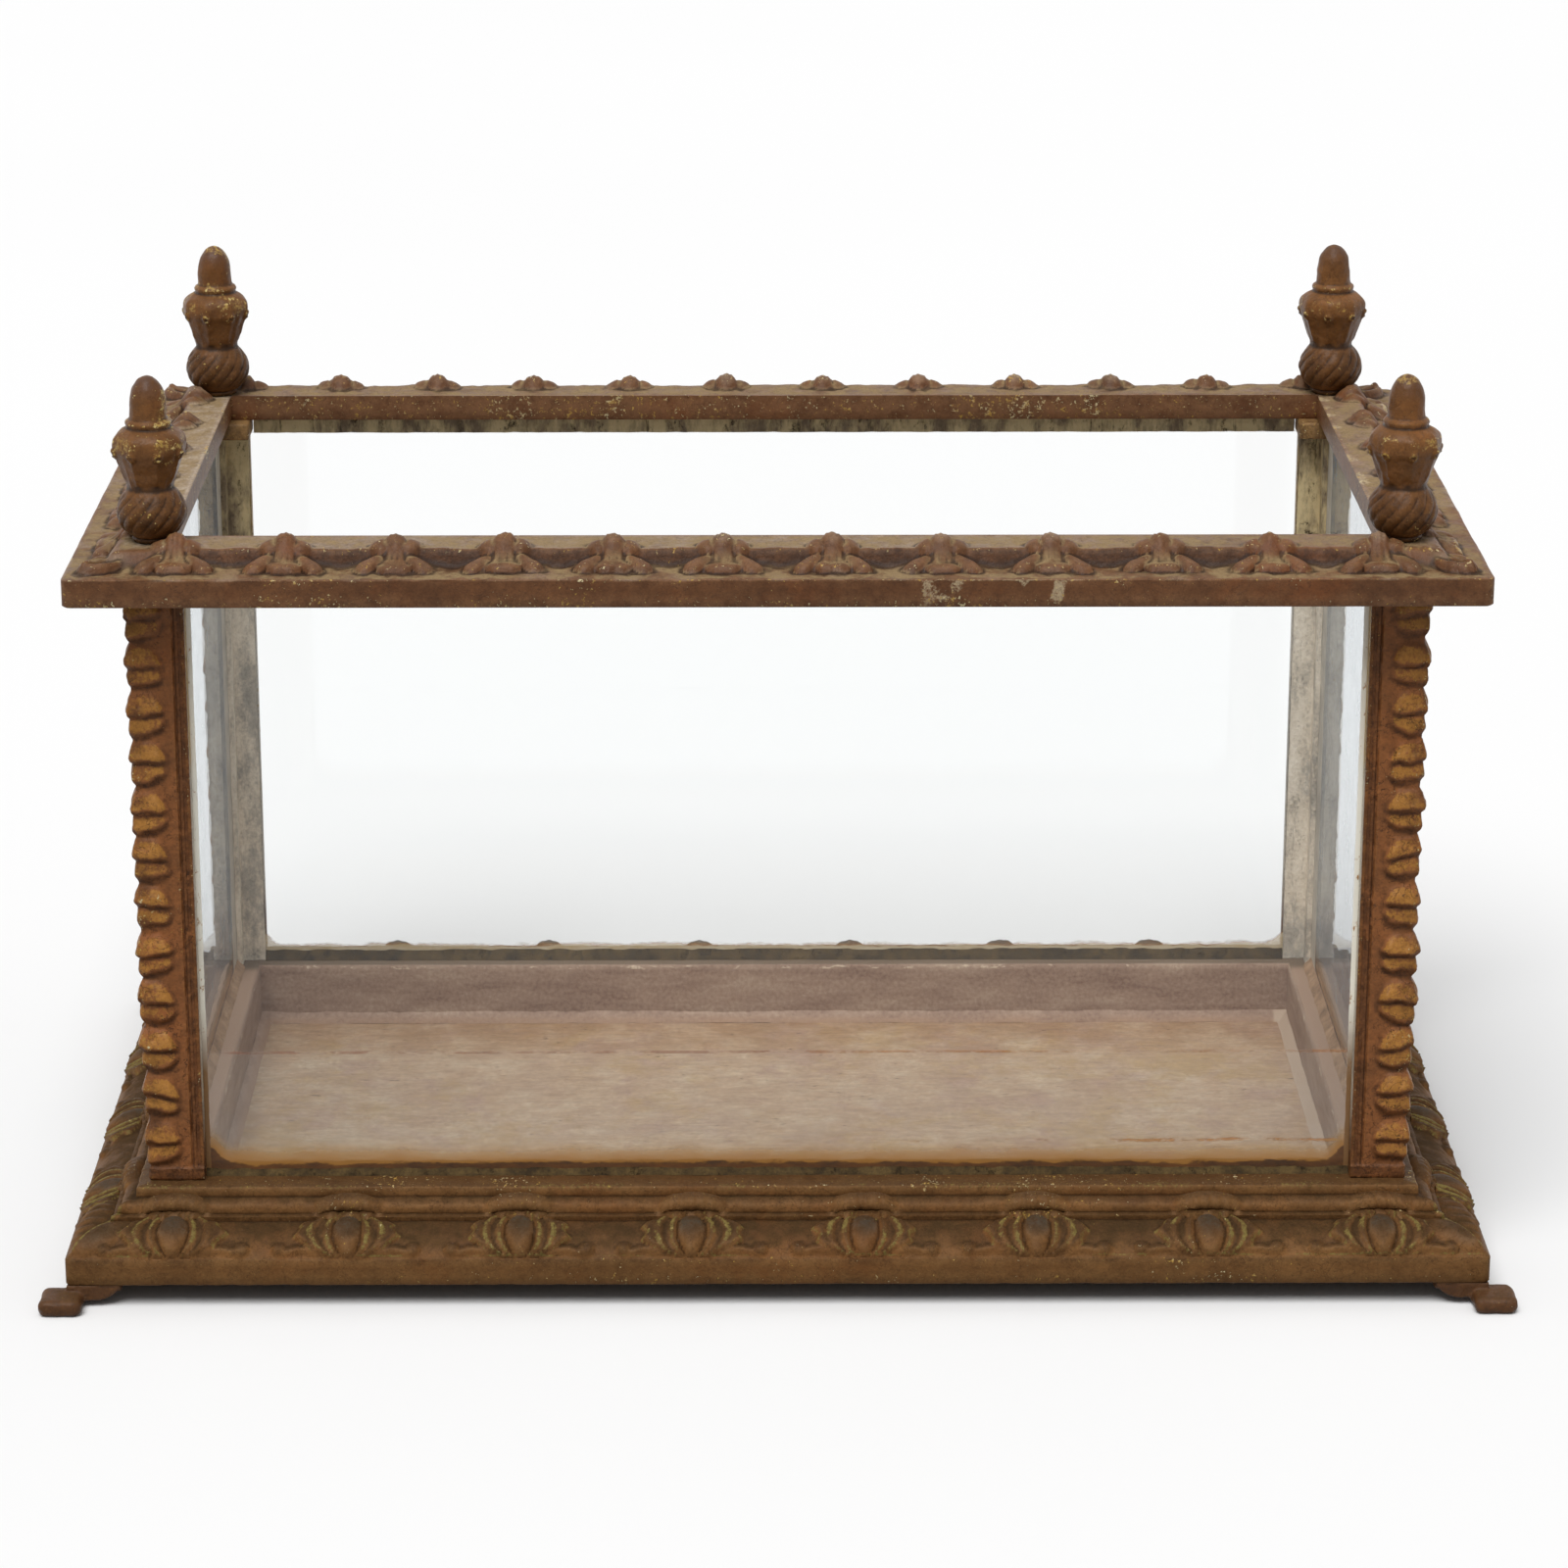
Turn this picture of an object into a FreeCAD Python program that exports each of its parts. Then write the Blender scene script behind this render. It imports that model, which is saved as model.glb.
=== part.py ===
import FreeCAD, Part
import math
import os
import Sketcher

# A table-top fish tank: a moulded iron plinth on four bracket feet, four L-shaped corner posts,
# four glass panes bedded in putty, a cast top rim and four screw-down finials.
# Millimetres. X runs along the tank, Y from the front to the back, Z up.
# The origin is the middle of the four foot soles.

SIZES = {
    # Plan sizes of the three storeys: plinth, posts and top rim
    "base_length": 630.0,
    "base_width": 375.0,
    "post_span_length": 562.0,
    "post_span_width": 302.0,
    "rim_length": 610.0,
    "rim_width": 350.0,
    "mouth_length": 526.0,
    "mouth_width": 260.0,
    "overrun": 2.0,
    # Feet: a bracket under each plinth corner and a square toe that reaches out past it
    "foot_height": 10.5,
    "bracket_length": 24.0,
    "bracket_drop": 7.5,
    "bracket_round": 13.0,
    "ankle_length": 11.0,
    "web_thickness": 4.0,
    "toe_width": 19.0,
    "toe_reach": 11.5,
    "toe_height": 7.5,
    "toe_round": 3.0,
    # Plinth moulding, upwards and inwards from the fascia
    "fascia_height": 12.5,
    "lip_run": 1.5,
    "lip_rise": 1.0,
    "ovolo_run": 18.0,
    "ovolo_rise": 9.0,
    "ovolo_radius": 24.0,
    "quirk_run": 3.5,
    "quirk_rise": 2.0,
    "torus_run": 4.0,
    "torus_rise": 5.5,
    "torus_radius": 3.6,
    "cove_run": 2.0,
    "ledge_edge_height": 5.0,
    "base_wall": 5.0,
    "ledge_thickness": 5.0,
    # Tray sunk in the plinth, and its floor plate on an inner flange
    "tray_length": 516.0,
    "tray_width": 260.0,
    "tray_wall": 4.0,
    "floor_depth": 30.0,
    "floor_thickness": 4.0,
    "floor_clearance": 1.0,
    "flange_width": 9.0,
    "flange_thickness": 3.0,
    "floor_bead": 5.0,
    # Egg-and-husk ornaments on the ovolo
    "egg_count": 8,
    "egg_side_count": 4,
    "egg_end": 47.6,
    "egg_side_end": 61.5,
    "egg_radius": 9.6,
    "husk_radius": 8.3,
    "husk_offset": 13.0,
    "hood_radius": 5.4,
    "corner_leaf_radius": 10.0,
    # Corner posts
    "leg_width": 25.0,
    "leg_thickness": 8.0,
    "shaft_inset": 1.0,
    "bevel_width": 5.6,
    "bevel_step": 1.5,
    "post_height": 280.5,
    "post_block_height": 6.0,
    "lug_reach": 9.0,
    "lug_thickness": 8.0,
    "leaf_count": 12,
    "leaf_depth": 5.4,
    "leaf_radius": 7.7,
    "bud_radius": 6.9,
    # Top rim
    "rim_edge_height": 12.5,
    "rim_edge_wall": 5.0,
    "rim_plate": 4.5,
    "rim_deck_width": 20.0,
    "band_cove_run": 3.0,
    "band_cove_radius": 7.0,
    "band_rise": 7.5,
    "fleur_count": 12,
    "fleur_side_count": 6,
    "fleur_end": 47.0,
    "fleur_side_end": 51.7,
    "fleur_hump_radius": 6.5,
    "fleur_hump_rise": 2.2,
    "fleur_tip_radius": 9.0,
    "fleur_tip_rise": 5.0,
    "fleur_tip_inset": 14.5,
    "petal_radius": 7.5,
    "petal_rise": 3.4,
    "petal_offset": 10.5,
    "petal_inset": 16.5,
    "corner_lobe_radius": 11.0,
    "corner_lobe_rise": 4.0,
    "corner_lobe_inset": 19.0,
    # Glass and putty
    "glass_thickness": 4.0,
    "glass_end_clearance": 1.0,
    "glass_top_clearance": 0.5,
    "bed_thickness": 1.5,
    "outer_bead_width": 3.0,
    "outer_bead_height": 3.0,
    "inner_bead_width": 4.0,
    "inner_bead_height": 5.0,
    "corner_putty_thickness": 2.5,
    "top_putty_clearance": 0.5,
    # Finials and the studs that they screw on to
    "finial_height": 72.5,
    "finial_foot_radius": 7.6,
    "finial_ball_base_radius": 8.6,
    "finial_ball_base_height": 2.4,
    "finial_ball_height": 24.0,
    "finial_ball_arc_radius": 13.0,
    "finial_waist_radius": 10.2,
    "finial_waist_height": 25.4,
    "finial_shoulder_radius": 15.6,
    "finial_shoulder_height": 41.0,
    "finial_shoulder_arc_radius": 6.2,
    "finial_neck_radius": 9.8,
    "finial_neck_height": 49.4,
    "finial_collar_height": 4.6,
    "finial_acorn_radius": 8.6,
    "finial_acorn_top_radius": 8.0,
    "finial_acorn_wall": 8.5,
    "finial_bead_count": 8,
    "finial_bead_radius": 1.9,
    "finial_bead_drop": 1.6,
    "stud_radius": 4.0,
    "stud_inset": 6.5,
    "stud_bore_depth": 22.0,
    "stud_end_gap": 0.3,
    "stud_tip_gap": 2.0,
    "thread_clearance": 0.05,
    "rim_hole_clearance": 0.6,
    # Screws
    "foot_screw_radius": 2.5,
    "foot_screw_head_radius": 4.5,
    "foot_screw_head_height": 2.8,
    "foot_screw_grip": 10.0,
    "foot_screw_inset": 14.5,
    "foot_boss_radius": 7.0,
    "foot_boss_height": 14.0,
    "post_screw_radius": 2.0,
    "post_screw_head_radius": 3.4,
    "post_screw_head_height": 2.5,
    "post_screw_grip": 14.0,
    "post_screw_inset": 4.0,
    "washer_radius": 4.0,
    "washer_thickness": 1.0,
    "screw_clearance": 0.3,
}

# Where an egg's centre lies across and up the ovolo, as shares of its run and rise
EGG_INSET_SHARE = 0.60
EGG_LIFT_SHARE = 0.22
# How far the torus centre lies in from its outer end, as a share of its run
HOOD_INSET_SHARE = 0.6
# Where the bud and the leaf of one repeat lie up a post, as shares of the repeat
BUD_SHARE = 0.25
LEAF_SHARE = 0.75

doc = FreeCAD.newDocument("fish_tank")
sheet = doc.addObject("Spreadsheet::Sheet", "Sizes")
for row, (alias, value) in enumerate(SIZES.items(), start=1):
    sheet.set("A%d" % row, alias.replace("_", " "))
    sheet.set("B%d" % row, str(value))
    sheet.setAlias("B%d" % row, alias)
doc.recompute()


class Term:
    """A size worked out from the sheet: its present value, and the expression that gives it."""

    def __init__(self, value, text):
        self.value = float(value)
        self.text = text

    def __add__(self, other):
        other = term(other)
        return Term(self.value + other.value, "(%s + %s)" % (self.text, other.text))

    def __sub__(self, other):
        other = term(other)
        return Term(self.value - other.value, "(%s - %s)" % (self.text, other.text))

    def __mul__(self, other):
        other = term(other)
        return Term(self.value * other.value, "(%s * %s)" % (self.text, other.text))

    def __truediv__(self, other):
        other = term(other)
        return Term(self.value / other.value, "(%s / %s)" % (self.text, other.text))

    def __neg__(self):
        return Term(-self.value, "(0 - %s)" % self.text)


def term(amount):
    """Turns a plain number into a Term, and leaves a Term as it is."""
    if isinstance(amount, Term):
        return amount
    return Term(amount, repr(amount))


def size(alias):
    """The Term of one cell of the sheet."""
    return Term(sheet.get(alias), "Sizes.%s" % alias)


def count(alias):
    """A cell that counts copies."""
    return int(sheet.get(alias))


def new(kind, label):
    """Adds an object of the document under its own label."""
    made = doc.addObject(kind, label)
    made.Label = label
    return made


def bind(made, **sizes):
    """Binds an object's properties to sizes."""
    for name, value in sizes.items():
        made.setExpression(name, term(value).text)


def place(made, x=0, y=0, z=0):
    """Binds an object's position to sizes."""
    for axis, value in zip("xyz", (x, y, z)):
        made.setExpression("Placement.Base.%s" % axis, term(value).text)


def box(label, x, y, z):
    """A box between pairs of sizes along X, Y and Z."""
    made = new("Part::Box", label)
    bind(made, Length=x[1] - x[0], Width=y[1] - y[0], Height=z[1] - z[0])
    place(made, x[0], y[0], z[0])
    return made


def cylinder(label, radius, x, y, z):
    """An upright cylinder at x, y between a pair of heights."""
    made = new("Part::Cylinder", label)
    bind(made, Radius=radius, Height=z[1] - z[0])
    place(made, x, y, z[0])
    return made


def ball(label, radius, x, y, z):
    """A sphere for a rounded ornament."""
    made = new("Part::Sphere", label)
    bind(made, Radius=radius)
    place(made, x, y, z)
    return made


def fuse(label, pieces):
    made = new("Part::MultiFuse", label)
    made.Shapes = pieces
    made.Refine = True
    return made


def cut(label, base, tool):
    made = new("Part::Cut", label)
    made.Base = base
    made.Tool = tool
    return made


def common(label, first, second):
    made = new("Part::Common", label)
    made.Base = first
    made.Tool = second
    return made


def mirror(label, source, normal):
    """The mirror image of a piece in a plane through the origin."""
    made = new("Part::Mirroring", label)
    made.Source = source
    made.Normal = normal
    return made


def group(label, pieces):
    """Separate identical solids under one name."""
    made = new("Part::Compound", label)
    made.Links = pieces
    return made


X_AXIS = FreeCAD.Vector(1, 0, 0)
Y_AXIS = FreeCAD.Vector(0, 1, 0)
# A sketch's own axes turned so that its second axis is Z and its first is X or Y
ALONG_X = FreeCAD.Rotation(FreeCAD.Vector(1, 0, 0), 90)
ALONG_Y = FreeCAD.Rotation(FreeCAD.Vector(1, 1, 1), 120)


def arc_edge(start, end, radius, side):
    """The arc of under a half circle from start to end; side is 1 with its centre to the left."""
    chord = end - start
    middle = (start + end) * 0.5
    left = FreeCAD.Vector(-chord.y, chord.x, 0).normalize()
    centre = middle + left * (side * math.sqrt(radius ** 2 - (chord.Length / 2) ** 2))
    first, last = (start, end) if side > 0 else (end, start)
    angles = [math.atan2(p.y - centre.y, p.x - centre.x) for p in (first, last)]
    circle = Part.Circle(centre, FreeCAD.Vector(0, 0, 1), radius)
    return Part.ArcOfCircle(circle, angles[0], angles[1])


def draw(sketch, points, arcs=None):
    """Draws a closed outline; arcs gives a radius and a side for the edges that are round."""
    arcs = arcs or {}
    corners = [FreeCAD.Vector(term(u).value, term(v).value, 0) for u, v in points]
    total = len(points)
    for i in range(total):
        start, end = corners[i], corners[(i + 1) % total]
        if i in arcs:
            sketch.addGeometry(arc_edge(start, end, arcs[i][0].value, arcs[i][1]))
        else:
            sketch.addGeometry(Part.LineSegment(start, end))
    for i, (u, v) in enumerate(points):
        first, last = (2, 1) if i in arcs and arcs[i][1] < 0 else (1, 2)
        for kind, value in (("DistanceX", u), ("DistanceY", v)):
            where = sketch.addConstraint(Sketcher.Constraint(kind, -1, 1, i, first, term(value).value))
            sketch.setExpression("Constraints[%d]" % where, term(value).text)
        after = (i + 1) % total
        start = 2 if after in arcs and arcs[after][1] < 0 else 1
        sketch.addConstraint(Sketcher.Constraint("Coincident", i, last, after, start))
        if i in arcs:
            where = sketch.addConstraint(Sketcher.Constraint("Radius", i, arcs[i][0].value))
            sketch.setExpression("Constraints[%d]" % where, arcs[i][0].text)


def prism(label, points, turn, length, arcs=None, offset=(0, 0, 0)):
    """An outline drawn at an offset and extruded both ways along the axis that its turn leaves free."""
    sketch = new("Sketcher::SketchObject", label + "_outline")
    draw(sketch, points, arcs)
    sketch.Placement = FreeCAD.Placement(FreeCAD.Vector(0, 0, 0), turn)
    place(sketch, *offset)
    made = new("Part::Extrusion", label)
    made.Base = sketch
    made.DirMode = "Normal"
    made.Symmetric = True
    made.Solid = True
    bind(made, LengthFwd=length)
    return made


def mitred(label, profile, half_length, half_width, arcs):
    """A solid with one moulding all round: what a section along X and a section along Y share."""
    sections = []
    spans = ((half_width, half_length, ALONG_Y), (half_length, half_width, ALONG_X))
    for number, (half, other, turn) in enumerate(spans):
        right = [(half - inset, height) for inset, height in profile]
        left = [(inset - half, height) for inset, height in reversed(profile)]
        last = len(profile) - 1
        both = dict(arcs)
        for edge, arc in arcs.items():
            both[last + (last - edge)] = arc
        sections.append(prism("%s_section_%d" % (label, number), right + left, turn, other * 2, both))
    return common(label, sections[0], sections[1])


def row_places(total, end, half):
    """Places evenly spread along a side, symmetric about its middle."""
    pitch = (half - end) * 2 / (total - 1)
    return [pitch * (i - (total - 1) / 2) for i in range(total)]


def ornament_rows(label, lobes, rows):
    """The same lobes repeated along the four sides. A lobe is a radius, a shift, an inset and a height."""
    pieces = []
    for side, sign, across_half, places, swap in rows:
        for i, along in enumerate(places):
            for name, radius, shift, inset, height in lobes:
                across = (across_half - inset) * sign
                spot = (across, along + shift) if swap else (along + shift, across)
                pieces.append(ball("%s_%s_%d_%s" % (label, side, i, name), radius, *spot, height))
    return pieces


# The corners of the tank, and which way each lies along X and Y
CORNERS = (("back_right", 1, 1), ("back_left", -1, 1), ("front_right", 1, -1), ("front_left", -1, -1))


# Half sizes in plan
base_x = size("base_length") / 2
base_y = size("base_width") / 2
post_x = size("post_span_length") / 2
post_y = size("post_span_width") / 2
rim_x = size("rim_length") / 2
rim_y = size("rim_width") / 2
mouth_x = size("mouth_length") / 2
mouth_y = size("mouth_width") / 2
tray_x = size("tray_length") / 2
tray_y = size("tray_width") / 2
stud_x = mouth_x + size("stud_inset")
stud_y = mouth_y + size("stud_inset")
pane_out_x = post_x - size("leg_thickness")
pane_out_y = post_y - size("leg_thickness")
pane_in_x = pane_out_x - size("glass_thickness")
pane_in_y = pane_out_y - size("glass_thickness")
opening_x = post_x - size("leg_width")
opening_y = post_y - size("leg_width")
foot_screw_x = base_x - size("foot_screw_inset")
foot_screw_y = base_y - size("foot_screw_inset")
post_screw_x = post_x - size("post_screw_inset")
post_screw_y = post_y - size("post_screw_inset")

# Heights above the foot soles
fascia_bottom = size("foot_height")
fascia_top = fascia_bottom + size("fascia_height")
ovolo_bottom = fascia_top + size("lip_rise")
ovolo_top = ovolo_bottom + size("ovolo_rise")
torus_bottom = ovolo_top + size("quirk_rise")
torus_top = torus_bottom + size("torus_rise")
ledge_top = torus_top + size("ledge_edge_height")
ledge_under = ledge_top - size("ledge_thickness")
floor_top = ledge_top - size("floor_depth")
plate_under = floor_top - size("floor_thickness")
skirt_bottom = plate_under - size("flange_thickness")
glass_bottom = ledge_top + size("bed_thickness")
rim_under = ledge_top + size("post_height")
lug_under = rim_under - size("lug_thickness")
glass_top = lug_under - size("glass_top_clearance")
deck_top = rim_under + size("rim_plate")
rim_bottom = deck_top - size("rim_edge_height")
band_top = deck_top + size("band_rise")

# Insets of the moulding's corners from the fascia
ovolo_start = size("lip_run")
ovolo_end = ovolo_start + size("ovolo_run")
torus_start = ovolo_end + size("quirk_run")
torus_end = torus_start + size("torus_run")
ledge_inset = torus_end + size("cove_run")


def plinth_ornaments():
    """An egg, two husks and a hood at each place on the moulding, and a leaf on each mitre."""
    inset = size("lip_run") + size("ovolo_run") * EGG_INSET_SHARE
    height = ovolo_bottom + size("ovolo_rise") * EGG_LIFT_SHARE
    hood_inset = torus_start + size("torus_run") * HOOD_INSET_SHARE
    hood_height = torus_bottom + size("torus_rise") / 2
    lobes = (
        ("egg", size("egg_radius"), term(0), inset, height),
        ("husk_a", size("husk_radius"), -size("husk_offset"), inset, height),
        ("husk_b", size("husk_radius"), size("husk_offset"), inset, height),
        ("hood", size("hood_radius"), term(0), hood_inset, hood_height),
    )
    long_row = row_places(count("egg_count"), size("egg_end"), base_x)
    short_row = row_places(count("egg_side_count"), size("egg_side_end"), base_y)
    rows = (("front", -1, base_y, long_row, False), ("back", 1, base_y, long_row, False),
            ("left", -1, base_x, short_row, True), ("right", 1, base_x, short_row, True))
    pieces = ornament_rows("plinth", lobes, rows)
    for name, sx, sy in CORNERS:
        pieces.append(ball("plinth_leaf_" + name, size("corner_leaf_radius"),
                           (base_x - inset) * sx, (base_y - inset) * sy, height))
    return pieces


def base_plinth():
    """The plinth casting: moulded outside, hollow beneath, with a tray wall and flange inside."""
    wall = size("base_wall")
    over = size("overrun")
    profile = [(term(0), fascia_bottom), (term(0), fascia_top), (ovolo_start, ovolo_bottom),
               (ovolo_end, ovolo_top), (ovolo_end, torus_bottom), (torus_start, torus_bottom),
               (torus_end, torus_top), (ledge_inset, torus_top), (ledge_inset, ledge_top)]
    arcs = {2: (size("ovolo_radius"), 1), 5: (size("torus_radius"), 1)}
    outer = mitred("plinth_outer", profile, base_x, base_y, arcs)
    carved = fuse("plinth_carved", [outer] + plinth_ornaments())
    hollow_profile = [(wall, fascia_bottom - over), (wall, fascia_top - wall),
                      (ovolo_end + wall, ovolo_top - wall), (ledge_inset + wall, ledge_under)]
    hollow = mitred("plinth_hollow", hollow_profile, base_x, base_y, {})
    tray_out_x = tray_x + size("tray_wall")
    tray_out_y = tray_y + size("tray_wall")
    shell = cut("plinth_shell", carved, hollow)
    tray = box("plinth_tray", (-tray_out_x, tray_out_x), (-tray_out_y, tray_out_y), (skirt_bottom, ledge_top))
    boss_height = (fascia_bottom, fascia_bottom + size("foot_boss_height"))
    bosses = [cylinder("plinth_boss_" + name, size("foot_boss_radius"), foot_screw_x * sx, foot_screw_y * sy,
                       boss_height) for name, sx, sy in CORNERS]
    body = fuse("plinth_body", [shell, tray] + bosses)
    window_x = tray_x - size("flange_width")
    window_y = tray_y - size("flange_width")
    tools = [
        box("plinth_tray_room", (-tray_x, tray_x), (-tray_y, tray_y), (plate_under, ledge_top + over)),
        box("plinth_window", (-window_x, window_x), (-window_y, window_y), (skirt_bottom - over, ledge_top)),
    ]
    foot_hole = size("foot_screw_radius") + size("thread_clearance")
    foot_depth = (fascia_bottom - over, fascia_bottom + size("foot_screw_grip"))
    post_hole = size("post_screw_radius") + size("screw_clearance")
    post_depth = (ledge_under - over, ledge_top + over)
    for name, sx, sy in CORNERS:
        tools.append(cylinder("plinth_foot_hole_" + name, foot_hole, foot_screw_x * sx, foot_screw_y * sy,
                              foot_depth))
        tools.append(cylinder("plinth_post_hole_" + name, post_hole, post_screw_x * sx, post_screw_y * sy,
                              post_depth))
    return cut("base_plinth", body, fuse("plinth_tools", tools))


def floor_pieces():
    """The floor plate that rests on the flange, and the putty fillet round its edge."""
    gap = size("floor_clearance")
    bead = size("floor_bead")
    plate = box("floor_plate", (gap - tray_x, tray_x - gap), (gap - tray_y, tray_y - gap),
                (plate_under, floor_top))
    block = box("floor_putty_block", (-tray_x, tray_x), (-tray_y, tray_y), (floor_top, floor_top + bead))
    room = new("Part::Wedge", "floor_putty_room")
    bind(room, Ymin=0, Ymax=bead)
    bind(room, Xmin=bead - tray_x, Xmax=tray_x - bead, X2min=-tray_x, X2max=tray_x)
    bind(room, Zmin=bead - tray_y, Zmax=tray_y - bead, Z2min=-tray_y, Z2max=tray_y)
    room.Placement = FreeCAD.Placement(FreeCAD.Vector(0, 0, 0), ALONG_X)
    place(room, 0, 0, floor_top)
    return [plate, cut("floor_putty", block, room)]


def foot():
    """One bracket foot: two arms under the fascia, a web for its screw and a square toe."""
    wall = size("base_wall")
    drop = fascia_bottom - size("bracket_drop")
    reach = size("bracket_length")
    ankle = size("ankle_length")
    toe_height = size("toe_height")
    bend = size("toe_round")
    arms, toes = [], []
    for name, half, other, turn in (("x", base_x, base_y, ALONG_X), ("y", base_y, base_x, ALONG_Y)):
        outline = [(half, fascia_bottom), (half - reach, fascia_bottom), (half - ankle, drop), (half, drop)]
        middle = other - wall / 2
        offset = (term(0), middle, term(0)) if name == "x" else (middle, term(0), term(0))
        arms.append(prism("foot_arm_" + name, outline, turn, wall, {1: (size("bracket_round"), -1)}, offset))
        tip = half + size("toe_reach")
        outline = [(tip - size("toe_width"), term(0)), (tip, term(0)), (tip, toe_height - bend),
                   (tip - bend, toe_height), (tip - size("toe_width"), toe_height)]
        toes.append(prism("foot_toe_" + name, outline, turn, (other + size("toe_reach")) * 2, {2: (bend, 1)}))
    toe = common("foot_toe", toes[0], toes[1])
    web = box("foot_web", (base_x - reach, base_x - wall / 2), (base_y - reach, base_y - wall / 2),
              (fascia_bottom - size("web_thickness"), fascia_bottom))
    body = fuse("foot_body", arms + [web, toe])
    clearance = size("screw_clearance")
    sole = term(0) - size("overrun")
    hole = cylinder("foot_hole", size("foot_screw_radius") + clearance, foot_screw_x, foot_screw_y,
                    (sole, fascia_bottom + size("overrun")))
    head_room = cylinder("foot_head_room", size("foot_screw_head_radius") + clearance, foot_screw_x,
                         foot_screw_y, (sole, fascia_bottom - size("web_thickness")))
    return cut("foot_back_right", body, fuse("foot_tools", [hole, head_room]))


def post():
    """One corner post: an L of two legs, a carved corner, a plain foot block and a lug at the top."""
    inset = size("shaft_inset")
    thick = size("leg_thickness")
    wide = size("leg_width")
    bevel = size("bevel_width")
    step = size("bevel_step") + inset
    shaft = (ledge_top, rim_under)
    block = (ledge_top, ledge_top + size("post_block_height"))
    pieces = [
        box("post_leg_x", (post_x - wide + bevel, post_x - inset), (post_y - thick, post_y - inset), shaft),
        box("post_bevel_x", (post_x - wide, post_x - inset), (post_y - thick, post_y - step), shaft),
        box("post_leg_y", (post_x - thick, post_x - inset), (post_y - wide + bevel, post_y - inset), shaft),
        box("post_bevel_y", (post_x - thick, post_x - step), (post_y - wide, post_y - inset), shaft),
        box("post_block_x", (post_x - wide, post_x), (post_y - thick, post_y), block),
        box("post_block_y", (post_x - thick, post_x), (post_y - wide, post_y), block),
    ]
    leaves = count("leaf_count")
    carved = (size("post_height") - size("post_block_height") - (rim_under - rim_bottom)) / leaves
    centre_x = post_x - inset - size("leaf_depth")
    centre_y = post_y - inset - size("leaf_depth")
    for i in range(leaves):
        bud = block[1] + carved * (i + BUD_SHARE)
        leaf = block[1] + carved * (i + LEAF_SHARE)
        pieces.append(ball("post_bud_%d" % i, size("bud_radius"), centre_x, centre_y, bud))
        pieces.append(ball("post_leaf_%d" % i, size("leaf_radius"), centre_x, centre_y, leaf))
    carved_post = fuse("post_carved", pieces)
    room = box("post_room", (post_x - wide * 2, post_x - thick), (post_y - wide * 2, post_y - thick),
               (ledge_top - size("overrun"), rim_under + size("overrun")))
    shaft_only = cut("post_shaft", carved_post, room)
    lug = box("post_lug", (mouth_x - size("lug_reach"), pane_out_x),
              (mouth_y - size("lug_reach"), pane_out_y), (lug_under, rim_under))
    solid = fuse("post_solid", [shaft_only, lug])
    thread = cylinder("post_thread", size("stud_radius") + size("thread_clearance"), stud_x, stud_y,
                      (lug_under - size("overrun"), rim_under + size("overrun")))
    screw = cylinder("post_screw_hole", size("post_screw_radius") + size("thread_clearance"),
                     post_screw_x, post_screw_y,
                     (ledge_top - size("overrun"), ledge_top + size("post_screw_grip")))
    return cut("post_back_right", solid, fuse("post_tools", [thread, screw]))


def rim_ornaments():
    """A three-lobed leaf at each place on the rim's deck, and a lobe on each corner."""
    hump_depth = size("fleur_hump_radius") - size("fleur_hump_rise")
    tip_height = deck_top + size("fleur_tip_rise") - size("fleur_tip_radius")
    petal_height = deck_top + size("petal_rise") - size("petal_radius")
    lobes = (
        ("hump", size("fleur_hump_radius"), term(0), size("rim_deck_width") + hump_depth,
         band_top - hump_depth),
        ("tip", size("fleur_tip_radius"), term(0), size("fleur_tip_inset"), tip_height),
        ("petal_a", size("petal_radius"), -size("petal_offset"), size("petal_inset"), petal_height),
        ("petal_b", size("petal_radius"), size("petal_offset"), size("petal_inset"), petal_height),
    )
    long_row = row_places(count("fleur_count"), size("fleur_end"), rim_x)
    short_row = row_places(count("fleur_side_count"), size("fleur_side_end"), rim_y)
    rows = (("front", -1, rim_y, long_row, False), ("back", 1, rim_y, long_row, False),
            ("left", -1, rim_x, short_row, True), ("right", 1, rim_x, short_row, True))
    pieces = ornament_rows("rim", lobes, rows)
    inset = size("corner_lobe_inset")
    height = deck_top + size("corner_lobe_rise") - size("corner_lobe_radius")
    for name, sx, sy in CORNERS:
        pieces.append(ball("rim_lobe_" + name, size("corner_lobe_radius"), (rim_x - inset) * sx,
                           (rim_y - inset) * sy, height))
    return pieces


def top_rim():
    """The rim casting: a turned-down edge, a flat deck and a raised band round the mouth."""
    over = size("overrun")
    deck_in = size("rim_deck_width")
    band_in = deck_in + size("band_cove_run")
    profile = [(term(0), rim_bottom), (term(0), deck_top), (deck_in, deck_top), (band_in, band_top)]
    solid = mitred("rim_outer", profile, rim_x, rim_y, {2: (size("band_cove_radius"), -1)})
    carved = fuse("rim_carved", [solid] + rim_ornaments())
    edge = size("rim_edge_wall")
    lobe_low = rim_bottom - size("corner_lobe_radius")
    tools = [
        box("rim_underside", (edge - rim_x, rim_x - edge), (edge - rim_y, rim_y - edge),
            (lobe_low, rim_under)),
        box("rim_mouth", (-mouth_x, mouth_x), (-mouth_y, mouth_y), (rim_bottom - over, band_top + over)),
    ]
    hole = size("stud_radius") + size("rim_hole_clearance")
    for name, sx, sy in CORNERS:
        tools.append(cylinder("rim_stud_hole_" + name, hole, stud_x * sx, stud_y * sy,
                              (rim_bottom, band_top + over)))
    return cut("top_rim", carved, fuse("rim_tools", tools))


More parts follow.
